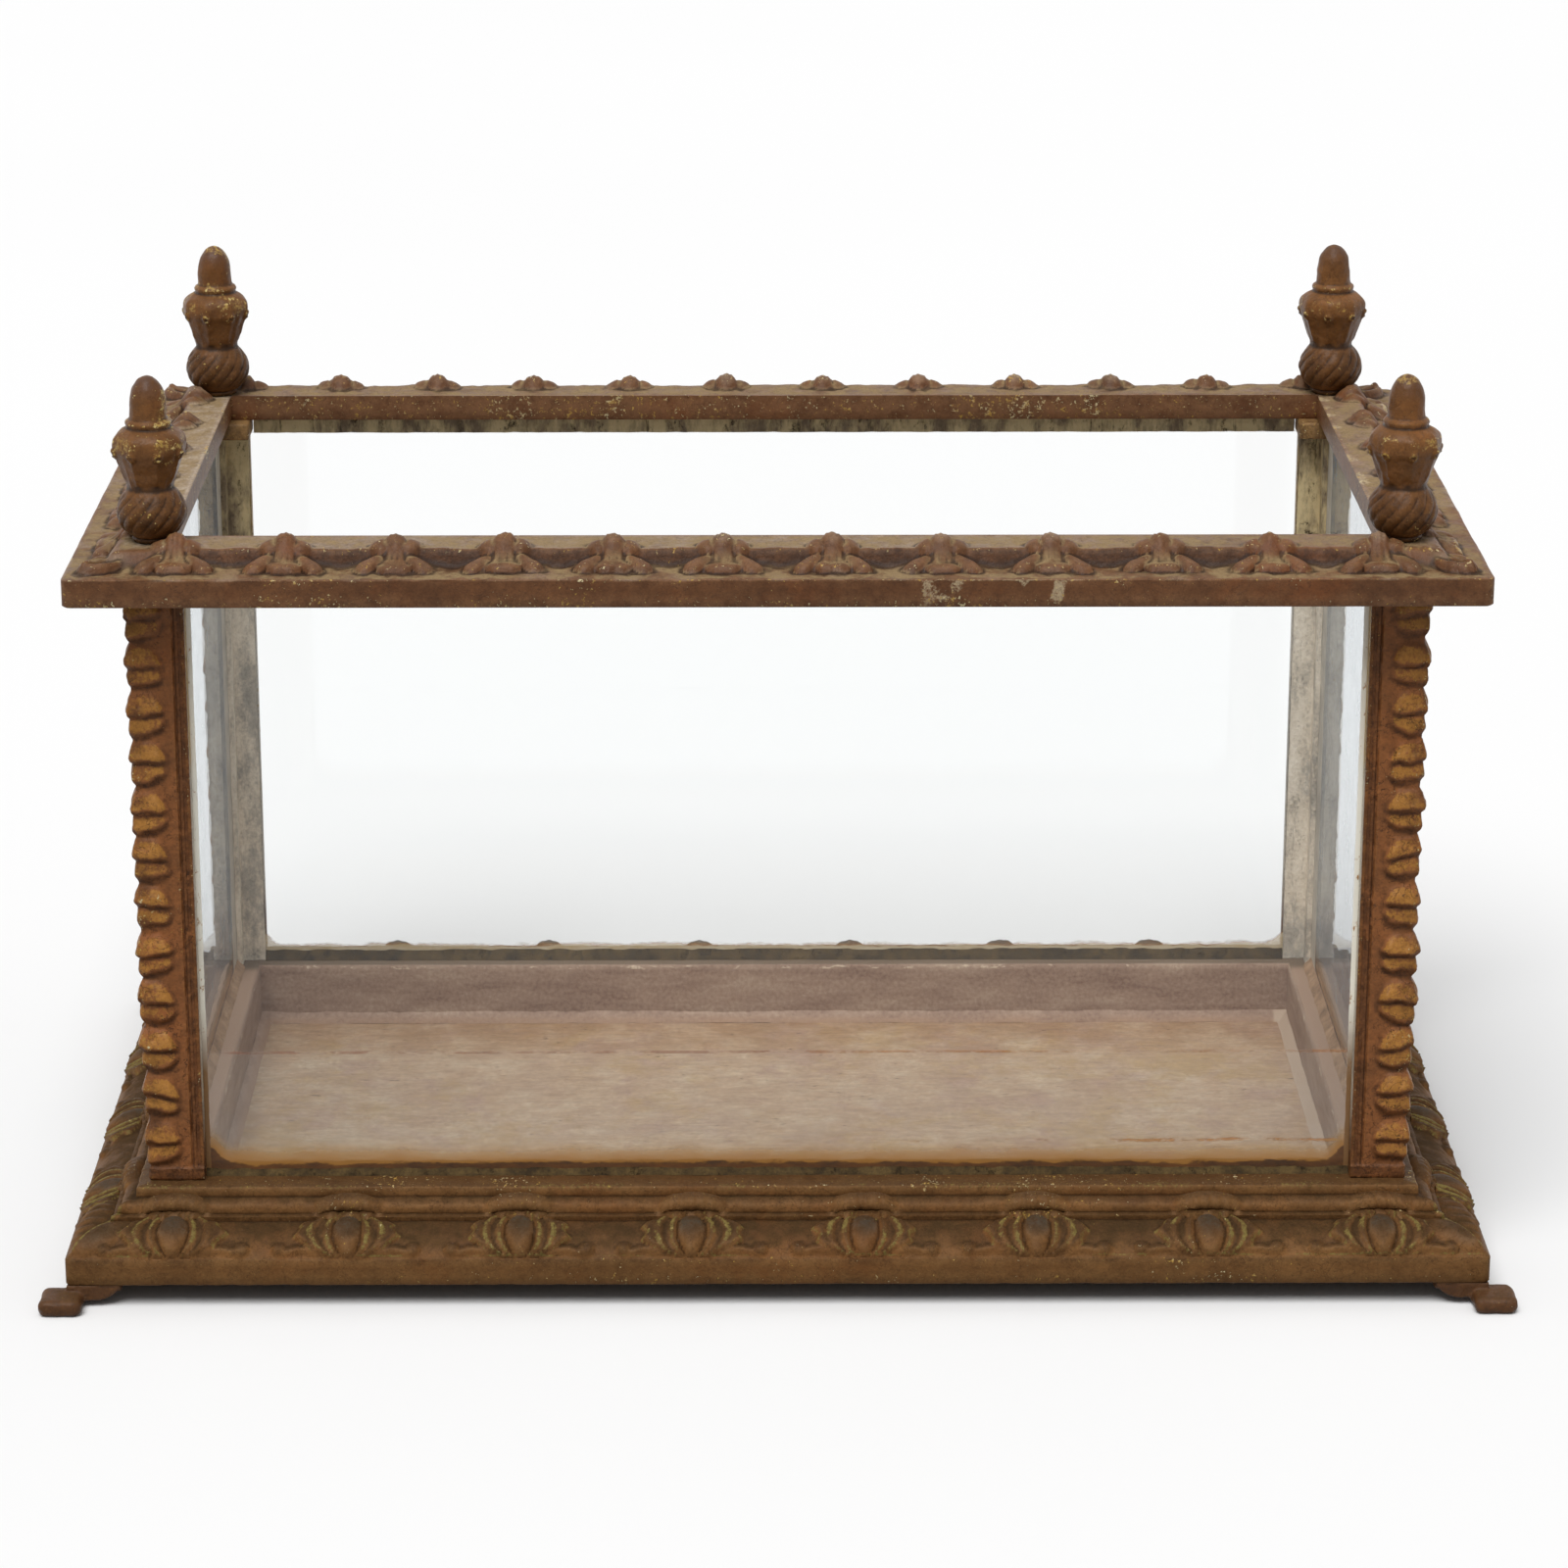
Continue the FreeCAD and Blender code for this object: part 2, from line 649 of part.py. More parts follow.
def panes():
    """Four panes: the long ones reach behind the post legs, the short ones stand between them."""
    gap = size("glass_end_clearance")
    long_x = pane_out_x - gap
    short_y = pane_in_y - gap
    tall = (glass_bottom, glass_top)
    return [
        box("glass_front", (-long_x, long_x), (-pane_out_y, -pane_in_y), tall),
        box("glass_back", (-long_x, long_x), (pane_in_y, pane_out_y), tall),
        box("glass_left", (-pane_out_x, -pane_in_x), (-short_y, short_y), tall),
        box("glass_right", (pane_in_x, pane_out_x), (-short_y, short_y), tall),
    ]


def putty_beds():
    """The putty channel under each pane, with a bead on each side, between the posts."""
    made = []
    outer, inner = size("outer_bead_width"), size("inner_bead_width")
    for name, low, high, turn, length in (
            ("back", pane_in_y, pane_out_y, ALONG_Y, opening_x * 2),
            ("right", pane_in_x, pane_out_x, ALONG_X, opening_y * 2)):
        outline = [(low - inner, ledge_top), (high + outer, ledge_top),
                   (high, ledge_top + size("outer_bead_height")), (high, glass_bottom),
                   (low, glass_bottom), (low, ledge_top + size("inner_bead_height"))]
        made.append(prism("putty_bed_" + name, outline, turn, length))
    made.append(mirror("putty_bed_front", made[0], Y_AXIS))
    made.append(mirror("putty_bed_left", made[1], X_AXIS))
    return made


def corner_putty():
    """The putty strip up one inside corner, lapping on to both panes."""
    thick = size("corner_putty_thickness")
    tall = (ledge_top, glass_top)
    arms = [box("putty_arm_x", (opening_x, pane_in_x), (pane_in_y - thick, pane_in_y), tall),
            box("putty_arm_y", (pane_in_x - thick, pane_in_x), (opening_y, pane_in_y), tall)]
    return fuse("putty_corner_back_right", arms)


def top_putty():
    """The putty between each pane's top edge and the rim, from lug to lug."""
    gap = size("top_putty_clearance")
    end_x = mouth_x - size("lug_reach") - gap
    end_y = mouth_y - size("lug_reach") - gap
    tall = (glass_top, rim_under)
    return [
        box("putty_top_front", (-end_x, end_x), (-pane_out_y, -pane_in_y), tall),
        box("putty_top_back", (-end_x, end_x), (pane_in_y, pane_out_y), tall),
        box("putty_top_left", (-pane_out_x, -pane_in_x), (-end_y, end_y), tall),
        box("putty_top_right", (pane_in_x, pane_out_x), (-end_y, end_y), tall),
    ]


def screws():
    """The screws through the feet, and the screws and washers that hold the posts from beneath."""
    foot_screws, post_screws, washers = [], [], []
    over = size("overrun")
    web_under = fascia_bottom - size("web_thickness")
    foot_head = (web_under - size("foot_screw_head_height"), web_under)
    foot_shank = (web_under, fascia_bottom + size("foot_screw_grip") - size("screw_clearance"))
    washer_under = ledge_under - size("washer_thickness")
    post_head = (washer_under - size("post_screw_head_height"), washer_under)
    post_shank = (washer_under, ledge_top + size("post_screw_grip") - size("screw_clearance"))
    washer_hole = size("post_screw_radius") + size("screw_clearance")
    for name, sx, sy in CORNERS:
        x, y = foot_screw_x * sx, foot_screw_y * sy
        head = cylinder("foot_screw_head_" + name, size("foot_screw_head_radius"), x, y, foot_head)
        shank = cylinder("foot_screw_shank_" + name, size("foot_screw_radius"), x, y, foot_shank)
        foot_screws.append(fuse("foot_screw_" + name, [head, shank]))
        x, y = post_screw_x * sx, post_screw_y * sy
        head = cylinder("post_screw_head_" + name, size("post_screw_head_radius"), x, y, post_head)
        shank = cylinder("post_screw_shank_" + name, size("post_screw_radius"), x, y, post_shank)
        post_screws.append(fuse("post_screw_" + name, [head, shank]))
        disc = cylinder("post_washer_disc_" + name, size("washer_radius"), x, y, (washer_under, ledge_under))
        hole = cylinder("post_washer_hole_" + name, washer_hole, x, y,
                        (washer_under - over, ledge_under + over))
        washers.append(cut("post_washer_" + name, disc, hole))
    return [group("foot_screws", foot_screws), group("post_screws", post_screws),
            group("post_washers", washers)]


def finial(name, sx, sy):
    """One finial, turned as an acorn on a fluted vase on a ball, with a ring of beads and a bore."""
    body = new("PartDesign::Body", "finial_" + name)
    origin = {feature.Role: feature for feature in body.Origin.OriginFeatures}
    sketch = body.newObject("Sketcher::SketchObject", "finial_profile_" + name)
    sketch.AttachmentSupport = [(origin["XZ_Plane"], "")]
    sketch.MapMode = "FlatFace"
    bore = size("stud_radius") + size("thread_clearance")
    collar_top = size("finial_neck_height") + size("finial_collar_height")
    acorn_rim = collar_top + size("finial_acorn_wall")
    crown = size("finial_acorn_top_radius")
    dome = size("finial_height") - acorn_rim
    dome_radius = (crown * crown + dome * dome) / (dome * 2)
    points = [
        (bore, term(0)),
        (size("finial_foot_radius"), term(0)),
        (size("finial_ball_base_radius"), size("finial_ball_base_height")),
        (size("finial_waist_radius"), size("finial_ball_height")),
        (size("finial_waist_radius"), size("finial_waist_height")),
        (size("finial_shoulder_radius"), size("finial_shoulder_height")),
        (size("finial_neck_radius"), size("finial_neck_height")),
        (size("finial_neck_radius"), collar_top),
        (size("finial_acorn_radius"), collar_top),
        (crown, acorn_rim),
        (term(0), size("finial_height")),
        (term(0), size("stud_bore_depth")),
        (bore, size("stud_bore_depth")),
    ]
    arcs = {2: (size("finial_ball_arc_radius"), 1), 5: (size("finial_shoulder_arc_radius"), 1),
            9: (dome_radius, 1)}
    draw(sketch, points, arcs)
    turned = body.newObject("PartDesign::Revolution", "finial_turned_" + name)
    turned.Profile = sketch
    turned.ReferenceAxis = (sketch, ["V_Axis"])
    turned.Angle = 360
    doc.recompute()
    bead = body.newObject("PartDesign::AdditiveSphere", "finial_bead_" + name)
    bind(bead, Radius=size("finial_bead_radius"))
    bead.AttachmentSupport = [(origin["XY_Plane"], "")]
    bead.MapMode = "FlatFace"
    bead_out = size("finial_shoulder_radius") - size("finial_bead_radius") / 2
    bead_height = size("finial_shoulder_height") - size("finial_bead_drop")
    bead.setExpression("AttachmentOffset.Base.x", bead_out.text)
    bead.setExpression("AttachmentOffset.Base.z", bead_height.text)
    beads = body.newObject("PartDesign::PolarPattern", "finial_beads_" + name)
    beads.Originals = [bead]
    beads.Axis = (origin["Z_Axis"], [""])
    beads.Angle = 360
    bind(beads, Occurrences=size("finial_bead_count"))
    body.Tip = beads
    place(body, stud_x * sx, stud_y * sy, band_top)
    return body


def stud(name, sx, sy):
    """The threaded stud that joins a finial to the lug of its post."""
    low = lug_under + size("stud_end_gap")
    high = band_top + size("stud_bore_depth") - size("stud_tip_gap")
    return cylinder("finial_stud_" + name, size("stud_radius"), stud_x * sx, stud_y * sy, (low, high))


def four(master):
    """A corner piece built at the back right, and its mirror images at the other corners."""
    stem = master.Label.replace("_back_right", "")
    back_left = mirror(stem + "_back_left", master, X_AXIS)
    front_right = mirror(stem + "_front_right", master, Y_AXIS)
    front_left = mirror(stem + "_front_left", back_left, Y_AXIS)
    return [master, back_left, front_right, front_left]


def main():
    nodes = [base_plinth(), top_rim()] + floor_pieces() + panes() + putty_beds() + top_putty()
    for master in (foot(), post(), corner_putty()):
        nodes += four(master)
    nodes += screws()
    for name, sx, sy in CORNERS:
        nodes += [finial(name, sx, sy), stud(name, sx, sy)]
    doc.recompute()
    for made in doc.Objects:
        if "Invalid" in made.State or "Error" in made.State:
            raise RuntimeError("%s failed: %s" % (made.Label, made.State))
    for node in nodes:
        if node.Shape.isNull() or not node.Shape.isValid() or not node.Shape.Solids:
            raise RuntimeError("%s has no valid solid" % node.Label)
    os.makedirs("parts", exist_ok=True)
    for node in nodes:
        node.Shape.exportStep("parts/%s.step" % node.Label)
        print("%-26s solids %d volume %.0f mm3" % (node.Label, len(node.Shape.Solids), node.Shape.Volume))


main()
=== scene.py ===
import functools
import itertools
import math
import bpy
import bmesh
import numpy as np
from mathutils import Matrix


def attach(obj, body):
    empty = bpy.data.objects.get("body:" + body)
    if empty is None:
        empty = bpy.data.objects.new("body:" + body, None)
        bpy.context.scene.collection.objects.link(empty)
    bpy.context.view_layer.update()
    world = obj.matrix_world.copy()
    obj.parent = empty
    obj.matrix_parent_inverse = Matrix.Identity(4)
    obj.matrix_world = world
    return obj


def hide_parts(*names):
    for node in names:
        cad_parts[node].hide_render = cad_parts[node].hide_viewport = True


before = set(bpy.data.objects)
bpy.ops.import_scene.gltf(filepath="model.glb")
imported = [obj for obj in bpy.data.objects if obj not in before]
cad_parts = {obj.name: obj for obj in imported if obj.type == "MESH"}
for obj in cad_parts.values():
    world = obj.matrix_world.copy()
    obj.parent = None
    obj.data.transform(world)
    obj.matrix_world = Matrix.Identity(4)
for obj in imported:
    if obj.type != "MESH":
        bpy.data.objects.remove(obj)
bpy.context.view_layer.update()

MM = 0.001
CORNERS = (("back_right", 1, 1), ("back_left", -1, 1), ("front_right", 1, -1), ("front_left", -1, -1))
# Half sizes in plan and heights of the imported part, in millimetres
BASE, RIM, POST, MOUTH, STUD = (315, 187.5), (305, 175), (281, 151), (263, 130), (269.5, 136.5)
BASE_UNDER, LEDGE, LUG_UNDER, RIM_UNDER, DECK, BAND = 10.5, 45.5, 318, 326, 330.5, 338
FINIAL_TALL = 72.5
EGGS_LONG, EGGS_SHORT = np.linspace(-267.4, 267.4, 8), np.linspace(-126, 126, 4)
LEAVES_LONG, LEAVES_SHORT = np.linspace(-258, 258, 12), np.linspace(-123.3, 123.3, 6)
# A height below every surface of the rim, and the mark of points that the rim's field of heights lifts
NOWHERE, TO_LIFT = DECK - 5, 400
FIELDS = ("grime", "patina", "gild")


# Shapes: small helpers for numbers
def lattice(i, j, k, seed):
    """A fixed number from -1 to 1 for each whole point of space."""
    n = (i * 374761393 + j * 668265263 + k * 2147483647 + seed * 1442695041) & 0xFFFFFFFF
    n = ((n ^ (n >> 13)) * 1274126177) & 0xFFFFFFFF
    return ((n ^ (n >> 16)) & 0xFFFF) / 32767.5 - 1.0


def lumps(points, size, seed=0):
    """Smooth noise from -1 to 1 at points, with lumps about size across."""
    q = np.asarray(points, float) / size
    i = np.floor(q).astype(np.int64)
    f = q - i
    f = f * f * (3 - 2 * f)
    total = 0.0
    for ends in itertools.product((0, 1), repeat=3):
        weight = np.where(ends, f, 1 - f).prod(-1)
        total = total + weight * lattice(*np.moveaxis(i + ends, -1, 0), seed)
    return total


def step(low, high, x):
    """0 below low and 1 above high, smooth between."""
    t = np.clip((x - low) / (high - low), 0.0, 1.0)
    return t * t * (3 - 2 * t)


def band(x, rise, full, fading, end):
    """1 between full and fading, and 0 before rise and after end."""
    return step(rise, full, x) * step(end, fading, x)


def dome(x):
    """Half a circle over -1 to 1, and 0 outside."""
    return np.sqrt(np.clip(1 - x * x, 0.0, None))


def highest(*parts):
    return functools.reduce(np.maximum, parts)


def soft_max(a, b, width):
    """The higher of two heights, rounded where they meet."""
    h = np.clip(0.5 + 0.5 * (a - b) / width, 0.0, 1.0)
    return b + (a - b) * h + width * h * (1 - h)


def spread(*parts):
    """Points from their coordinates, all spread to one shape."""
    return np.stack(np.broadcast_arrays(*parts), -1)


def nearest(along, places):
    """The signed distance to the nearest of some places, and the place's number."""
    gap = along[..., None] - places
    which = np.abs(gap).argmin(-1)
    return np.take_along_axis(gap, which[..., None], -1)[..., 0], which


def path(*runs):
    """Joins runs of points, leaving out a point that repeats the one before."""
    out = [runs[0][0]]
    for p in itertools.chain(*runs):
        if math.dist(p, out[-1]) > 1e-6:
            out.append(p)
    return out


def line(a, b, n=1):
    """n + 1 points from a to b."""
    return [(a[0] + (b[0] - a[0]) * i / n, a[1] + (b[1] - a[1]) * i / n) for i in range(n + 1)]


def arc(a, b, radius, n, side=1):
    """n + 1 points from a to b on a circle that bulges to the left of the way, or right for side -1."""
    ax, ay, bx, by = *a, *b
    half = math.dist(a, b) / 2
    drop = math.sqrt(max(radius * radius - half * half, 0.0)) * side / (2 * half)
    cx, cy = (ax + bx) / 2 + (by - ay) * drop, (ay + by) / 2 - (bx - ax) * drop
    start = math.atan2(ay - cy, ax - cx)
    turn = math.atan2(by - cy, bx - cx) - start
    turn = (turn + math.pi) % (2 * math.pi) - math.pi
    return [(cx + radius * math.cos(start + turn * i / n), cy + radius * math.sin(start + turn * i / n))
            for i in range(n + 1)]


# Making objects
def carved_height(mesh, rounds, depth):
    """Stores on each point how far it stands out of the surface around it, from 0 to 1, as "relief"."""
    n = len(mesh.vertices)
    co, normals = np.empty(n * 3), np.empty(n * 3)
    mesh.vertices.foreach_get("co", co)
    mesh.vertex_normals.foreach_get("vector", normals)
    co, normals = co.reshape(-1, 3), normals.reshape(-1, 3)
    ends = np.empty(len(mesh.edges) * 2, np.int32)
    mesh.edges.foreach_get("vertices", ends)
    a, b = ends.reshape(-1, 2).T
    count = np.maximum(np.bincount(ends, minlength=n), 1)
    smooth = co.copy()
    for _ in range(rounds):
        for axis in range(3):
            v = smooth[:, axis]
            total = np.bincount(a, v[b], n) + np.bincount(b, v[a], n)
            smooth[:, axis] = 0.4 * v + 0.6 * total / count
    height = ((co - smooth) * normals).sum(1) / (depth * MM)
    mesh.attributes.new("relief", "FLOAT", "POINT").data.foreach_set(
        "value", (0.5 + 0.5 * np.tanh(height)).astype(np.float32))


def linked(name, data):
    """A new object of the scene."""
    obj = bpy.data.objects.new(name, data)
    bpy.context.scene.collection.objects.link(obj)
    return obj


def made(name, points, faces, material, nodes=(), body="tank", rounds=10, depth=0.5, sharp=50,
         fields=()):
    """An object from points in millimetres and faces, dressed, riding on its body in place of CAD nodes.
    fields say, point by point, how dark it is with dirty paint and painted shade, how discoloured it is, and
    how far gold paint and painted highlight cover it."""
    mesh = bpy.data.meshes.new(name)
    mesh.from_pydata((np.asarray(points, float) * MM).tolist(), [],
                     faces.tolist() if isinstance(faces, np.ndarray) else faces)
    bm = bmesh.new()
    bm.from_mesh(mesh)
    bmesh.ops.recalc_face_normals(bm, faces=bm.faces)
    bm.to_mesh(mesh)
    bm.free()
    mesh.shade_smooth()
    mesh.set_sharp_from_angle(angle=math.radians(sharp))
    carved_height(mesh, rounds, depth)
    for label, values in itertools.zip_longest(FIELDS, fields):
        field = mesh.attributes.new(label, "FLOAT", "POINT")
        if values is not None:
            field.data.foreach_set("value", np.asarray(values, np.float32).ravel())
    obj = linked(name, mesh)
    mesh.materials.append(material)
    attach(obj, body)
    if nodes:
        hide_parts(*nodes)
    return obj


def tube_faces(rows, cols, closed=False):
    """Quads of a grid of points, where point row * cols + col follows the one before round a row, and the
    last row meets the first if the tube is closed."""
    r, c = np.meshgrid(np.arange(rows if closed else rows - 1), np.arange(cols), indexing="ij")
    r2, c2 = (r + 1) % rows, (c + 1) % cols
    return np.stack([r * cols + c, r2 * cols + c, r2 * cols + c2, r * cols + c2], -1).reshape(-1, 4)


def capped_tube(rows, cols):
    """The same with a face over each end."""
    return tube_faces(rows, cols).tolist() + [list(range(cols)), list(range((rows - 1) * cols, rows * cols))]


def around(side, c, across):
    """X and Y of points given along and across the front, right, back or left side."""
    return ((c, -across), (across, c), (-c, across), (-across, -c))[side]


def ring(half, zone, pitch, profile, shape):
    """Sweeps a closed profile of (inset along X, inset along Y, height) round a rectangle, with mitred
    corners. shape gives, for points of one side, how far they move inwards and upwards, and their fields."""
    ax, ay, z = np.array(profile, float).T
    points, fields = [], []
    for side in range(4):
        (long_half, wide_half), (near, far) = (half[::-1], (ay, ax)) if side % 2 else (half, (ax, ay))
        n = int(round(2 * long_half / pitch))
        q = np.linspace(-long_half, long_half, n + 1)[:-1][:, None]

        def place(inset):
            core = long_half - zone
            past = np.abs(q) - core
            return np.where(past > 0, np.sign(q) * (core + past * (zone - inset) / zone), q)

        c = place(near)
        inward, upward, *marks = shape(side, c, long_half - near - np.abs(c), near, far, z)
        c, across, height, *marks = np.broadcast_arrays(
            place(near + inward), wide_half - (far + inward), z + upward, *marks)
        points.append(np.stack([*around(side, c, across), height], -1))
        fields.append(marks)
    grid = np.concatenate(points)
    return (grid.reshape(-1, 3), tube_faces(*grid.shape[:2], closed=True),
            [np.clip(np.concatenate(f), 0, 1) for f in zip(*fields)])


def profile_normals(profile):
    """The outward direction, inwards and upwards, at each point of a closed profile."""
    p = np.array(profile)[:, ::2]
    run = np.roll(p, -1, 0) - np.roll(p, 1, 0)
    normal = np.stack([-run[:, 1], run[:, 0]], -1)
    return normal / np.maximum(np.linalg.norm(normal, axis=1, keepdims=True), 1e-9)


def rounding(radius, from_mitre, far):
    """How far the points by a mitre draw in where the corner is worn to a radius."""
    left = radius - 0.29 * radius - 0.71 * np.clip(from_mitre, 0, radius)
    return (radius - np.sqrt(radius ** 2 - left ** 2)) * step(6, 1, far)


# Materials: nodes in a few words
def shade(value):
    """A colour as the shader takes it, from red, green and blue of 0 to 255 or a grey of 0 to 1."""
    if isinstance(value, (int, float)):
        return (value, value, value, 1.0)
    if len(value) == 4:
        return value
    return tuple(v / 255 / 12.92 if v / 255 <= 0.04045 else ((v / 255 + 0.055) / 1.055) ** 2.4
                 for v in value) + (1.0,)


def sign(operation, turned=False):
    """What a sign of arithmetic makes of a Flow: a maths node, its inputs turned round if asked."""
    def method(flow, other=0.0):
        return flow.graph.math(operation, *((other, flow) if turned else (flow, other)))
    return method


class Flow:
    """A number or colour on its way between nodes. The sign | gives the higher of two."""
    __add__ = __radd__ = sign("ADD")
    __mul__ = __rmul__ = sign("MULTIPLY")
    __sub__, __rsub__ = sign("SUBTRACT"), sign("SUBTRACT", True)
    __pow__, __or__, __abs__ = sign("POWER"), sign("MAXIMUM"), sign("ABSOLUTE")

    def __init__(self, graph, socket):
        self.graph, self.socket = graph, socket


class Graph:
    """A tree of nodes, and short names for the nodes that it is made of."""

    def __init__(self, tree):
        self.tree = tree

    def node(self, kind, inputs=(), **settings):
        made_node = self.tree.nodes.new(kind)
        for key, value in settings.items():
            setattr(made_node, key, value)
        for key, value in dict(inputs).items():
            self.feed(made_node.inputs[key], value)
        return made_node

    def feed(self, socket, value):
        if isinstance(value, Flow):
            self.tree.links.new(value.socket, socket)
        else:
            socket.default_value = shade(value) if socket.type == "RGBA" else value

    def out(self, node, name=0):
        return Flow(self, node.outputs[name])

    def math(self, operation, a, b=0.0):
        return self.out(self.node("ShaderNodeMath", ((0, a), (1, b)), operation=operation))

    def part(self, vector, letter):
        """One coordinate of a vector."""
        return self.out(self.node("ShaderNodeSeparateXYZ", ((0, vector),)), letter)

    def seen(self):
        """1 for rays that show the surroundings, and 0 for those that light."""
        rays = self.node("ShaderNodeLightPath")
        camera, glossy, through = (self.out(rays, "Is %s Ray" % kind)
                                   for kind in ("Camera", "Glossy", "Transmission"))
        return camera | glossy | through

    def blend(self, share, a, b):
        """Two shaders mixed."""
        return self.out(self.node("ShaderNodeMixShader", ((0, share), (1, a), (2, b))))


class Paint(Graph):
    """One material."""

    def __init__(self, name):
        self.material = bpy.data.materials.new(name)
        self.material.use_nodes = True
        super().__init__(self.material.node_tree)
        self.shader = self.tree.nodes["Principled BSDF"]
        self.coords = self.node("ShaderNodeTexCoord")

    def noise(self, size, detail=3, rough=0.55, seed=0, stretch=None, distortion=0):
        """Noise from 0 to 1 with lumps of a size in millimetres, its coordinates scaled by stretch."""
        vector = self.out(self.coords, "Object")
        if stretch:
            vector = self.out(self.node("ShaderNodeMapping", {"Vector": vector, "Scale": stretch}))
        return self.out(self.node("ShaderNodeTexNoise", noise_dimensions="4D", inputs={
            "Vector": vector, "W": seed, "Scale": 1000 / size, "Detail": detail, "Roughness": rough,
            "Distortion": distortion}), "Fac")

    def ramp(self, value, *stops):
        """A colour from (place, colour) stops."""
        n = self.node("ShaderNodeValToRGB", {"Fac": value})
        bar = n.color_ramp
        while len(bar.elements) < len(stops):
            bar.elements.new(0.5)
        for element, (place, colour) in zip(bar.elements, stops):
            element.position = place
            element.color = shade(colour)
        return self.out(n)

    def span(self, value, low, high, to_low=0.0, to_high=1.0):
        """Carries low..high over to another span, held at its ends."""
        return self.out(self.node("ShaderNodeMapRange", {
            "Value": value, "From Min": low, "From Max": high, "To Min": to_low, "To Max": to_high},
            interpolation_type="SMOOTHSTEP"))

    def mix(self, share, a, b, kind="MIX"):
        n = self.node("ShaderNodeMix", data_type="RGBA", blend_type=kind, clamp_factor=True)
        for name, value in (("Factor", share), ("A", a), ("B", b)):
            socket = next(s for s in n.inputs if s.name == name and s.enabled)
            self.feed(socket, value)
        return Flow(self, next(s for s in n.outputs if s.enabled))

    def field(self, name):
        """A number that the mesh keeps at each point."""
        return self.out(self.node("ShaderNodeAttribute", attribute_name=name), "Fac")

    def axis(self, letter, source="Object"):
        return self.part(self.out(self.coords, source), letter)

    def finish(self, colour, roughness, height=None, distance=0, strength=1, **constants):
        """The material with its colour, roughness and fine unevenness, distance in millimetres."""
        self.feed(self.shader.inputs["Base Color"], colour)
        self.feed(self.shader.inputs["Roughness"], roughness)
        if height is not None:
            self.feed(self.shader.inputs["Normal"], self.out(self.node("ShaderNodeBump", {
                "Strength": strength, "Distance": distance * MM, "Height": height})))
        for key, value in constants.items():
            self.shader.inputs[key.replace("_", " ")].default_value = value
        return self.material


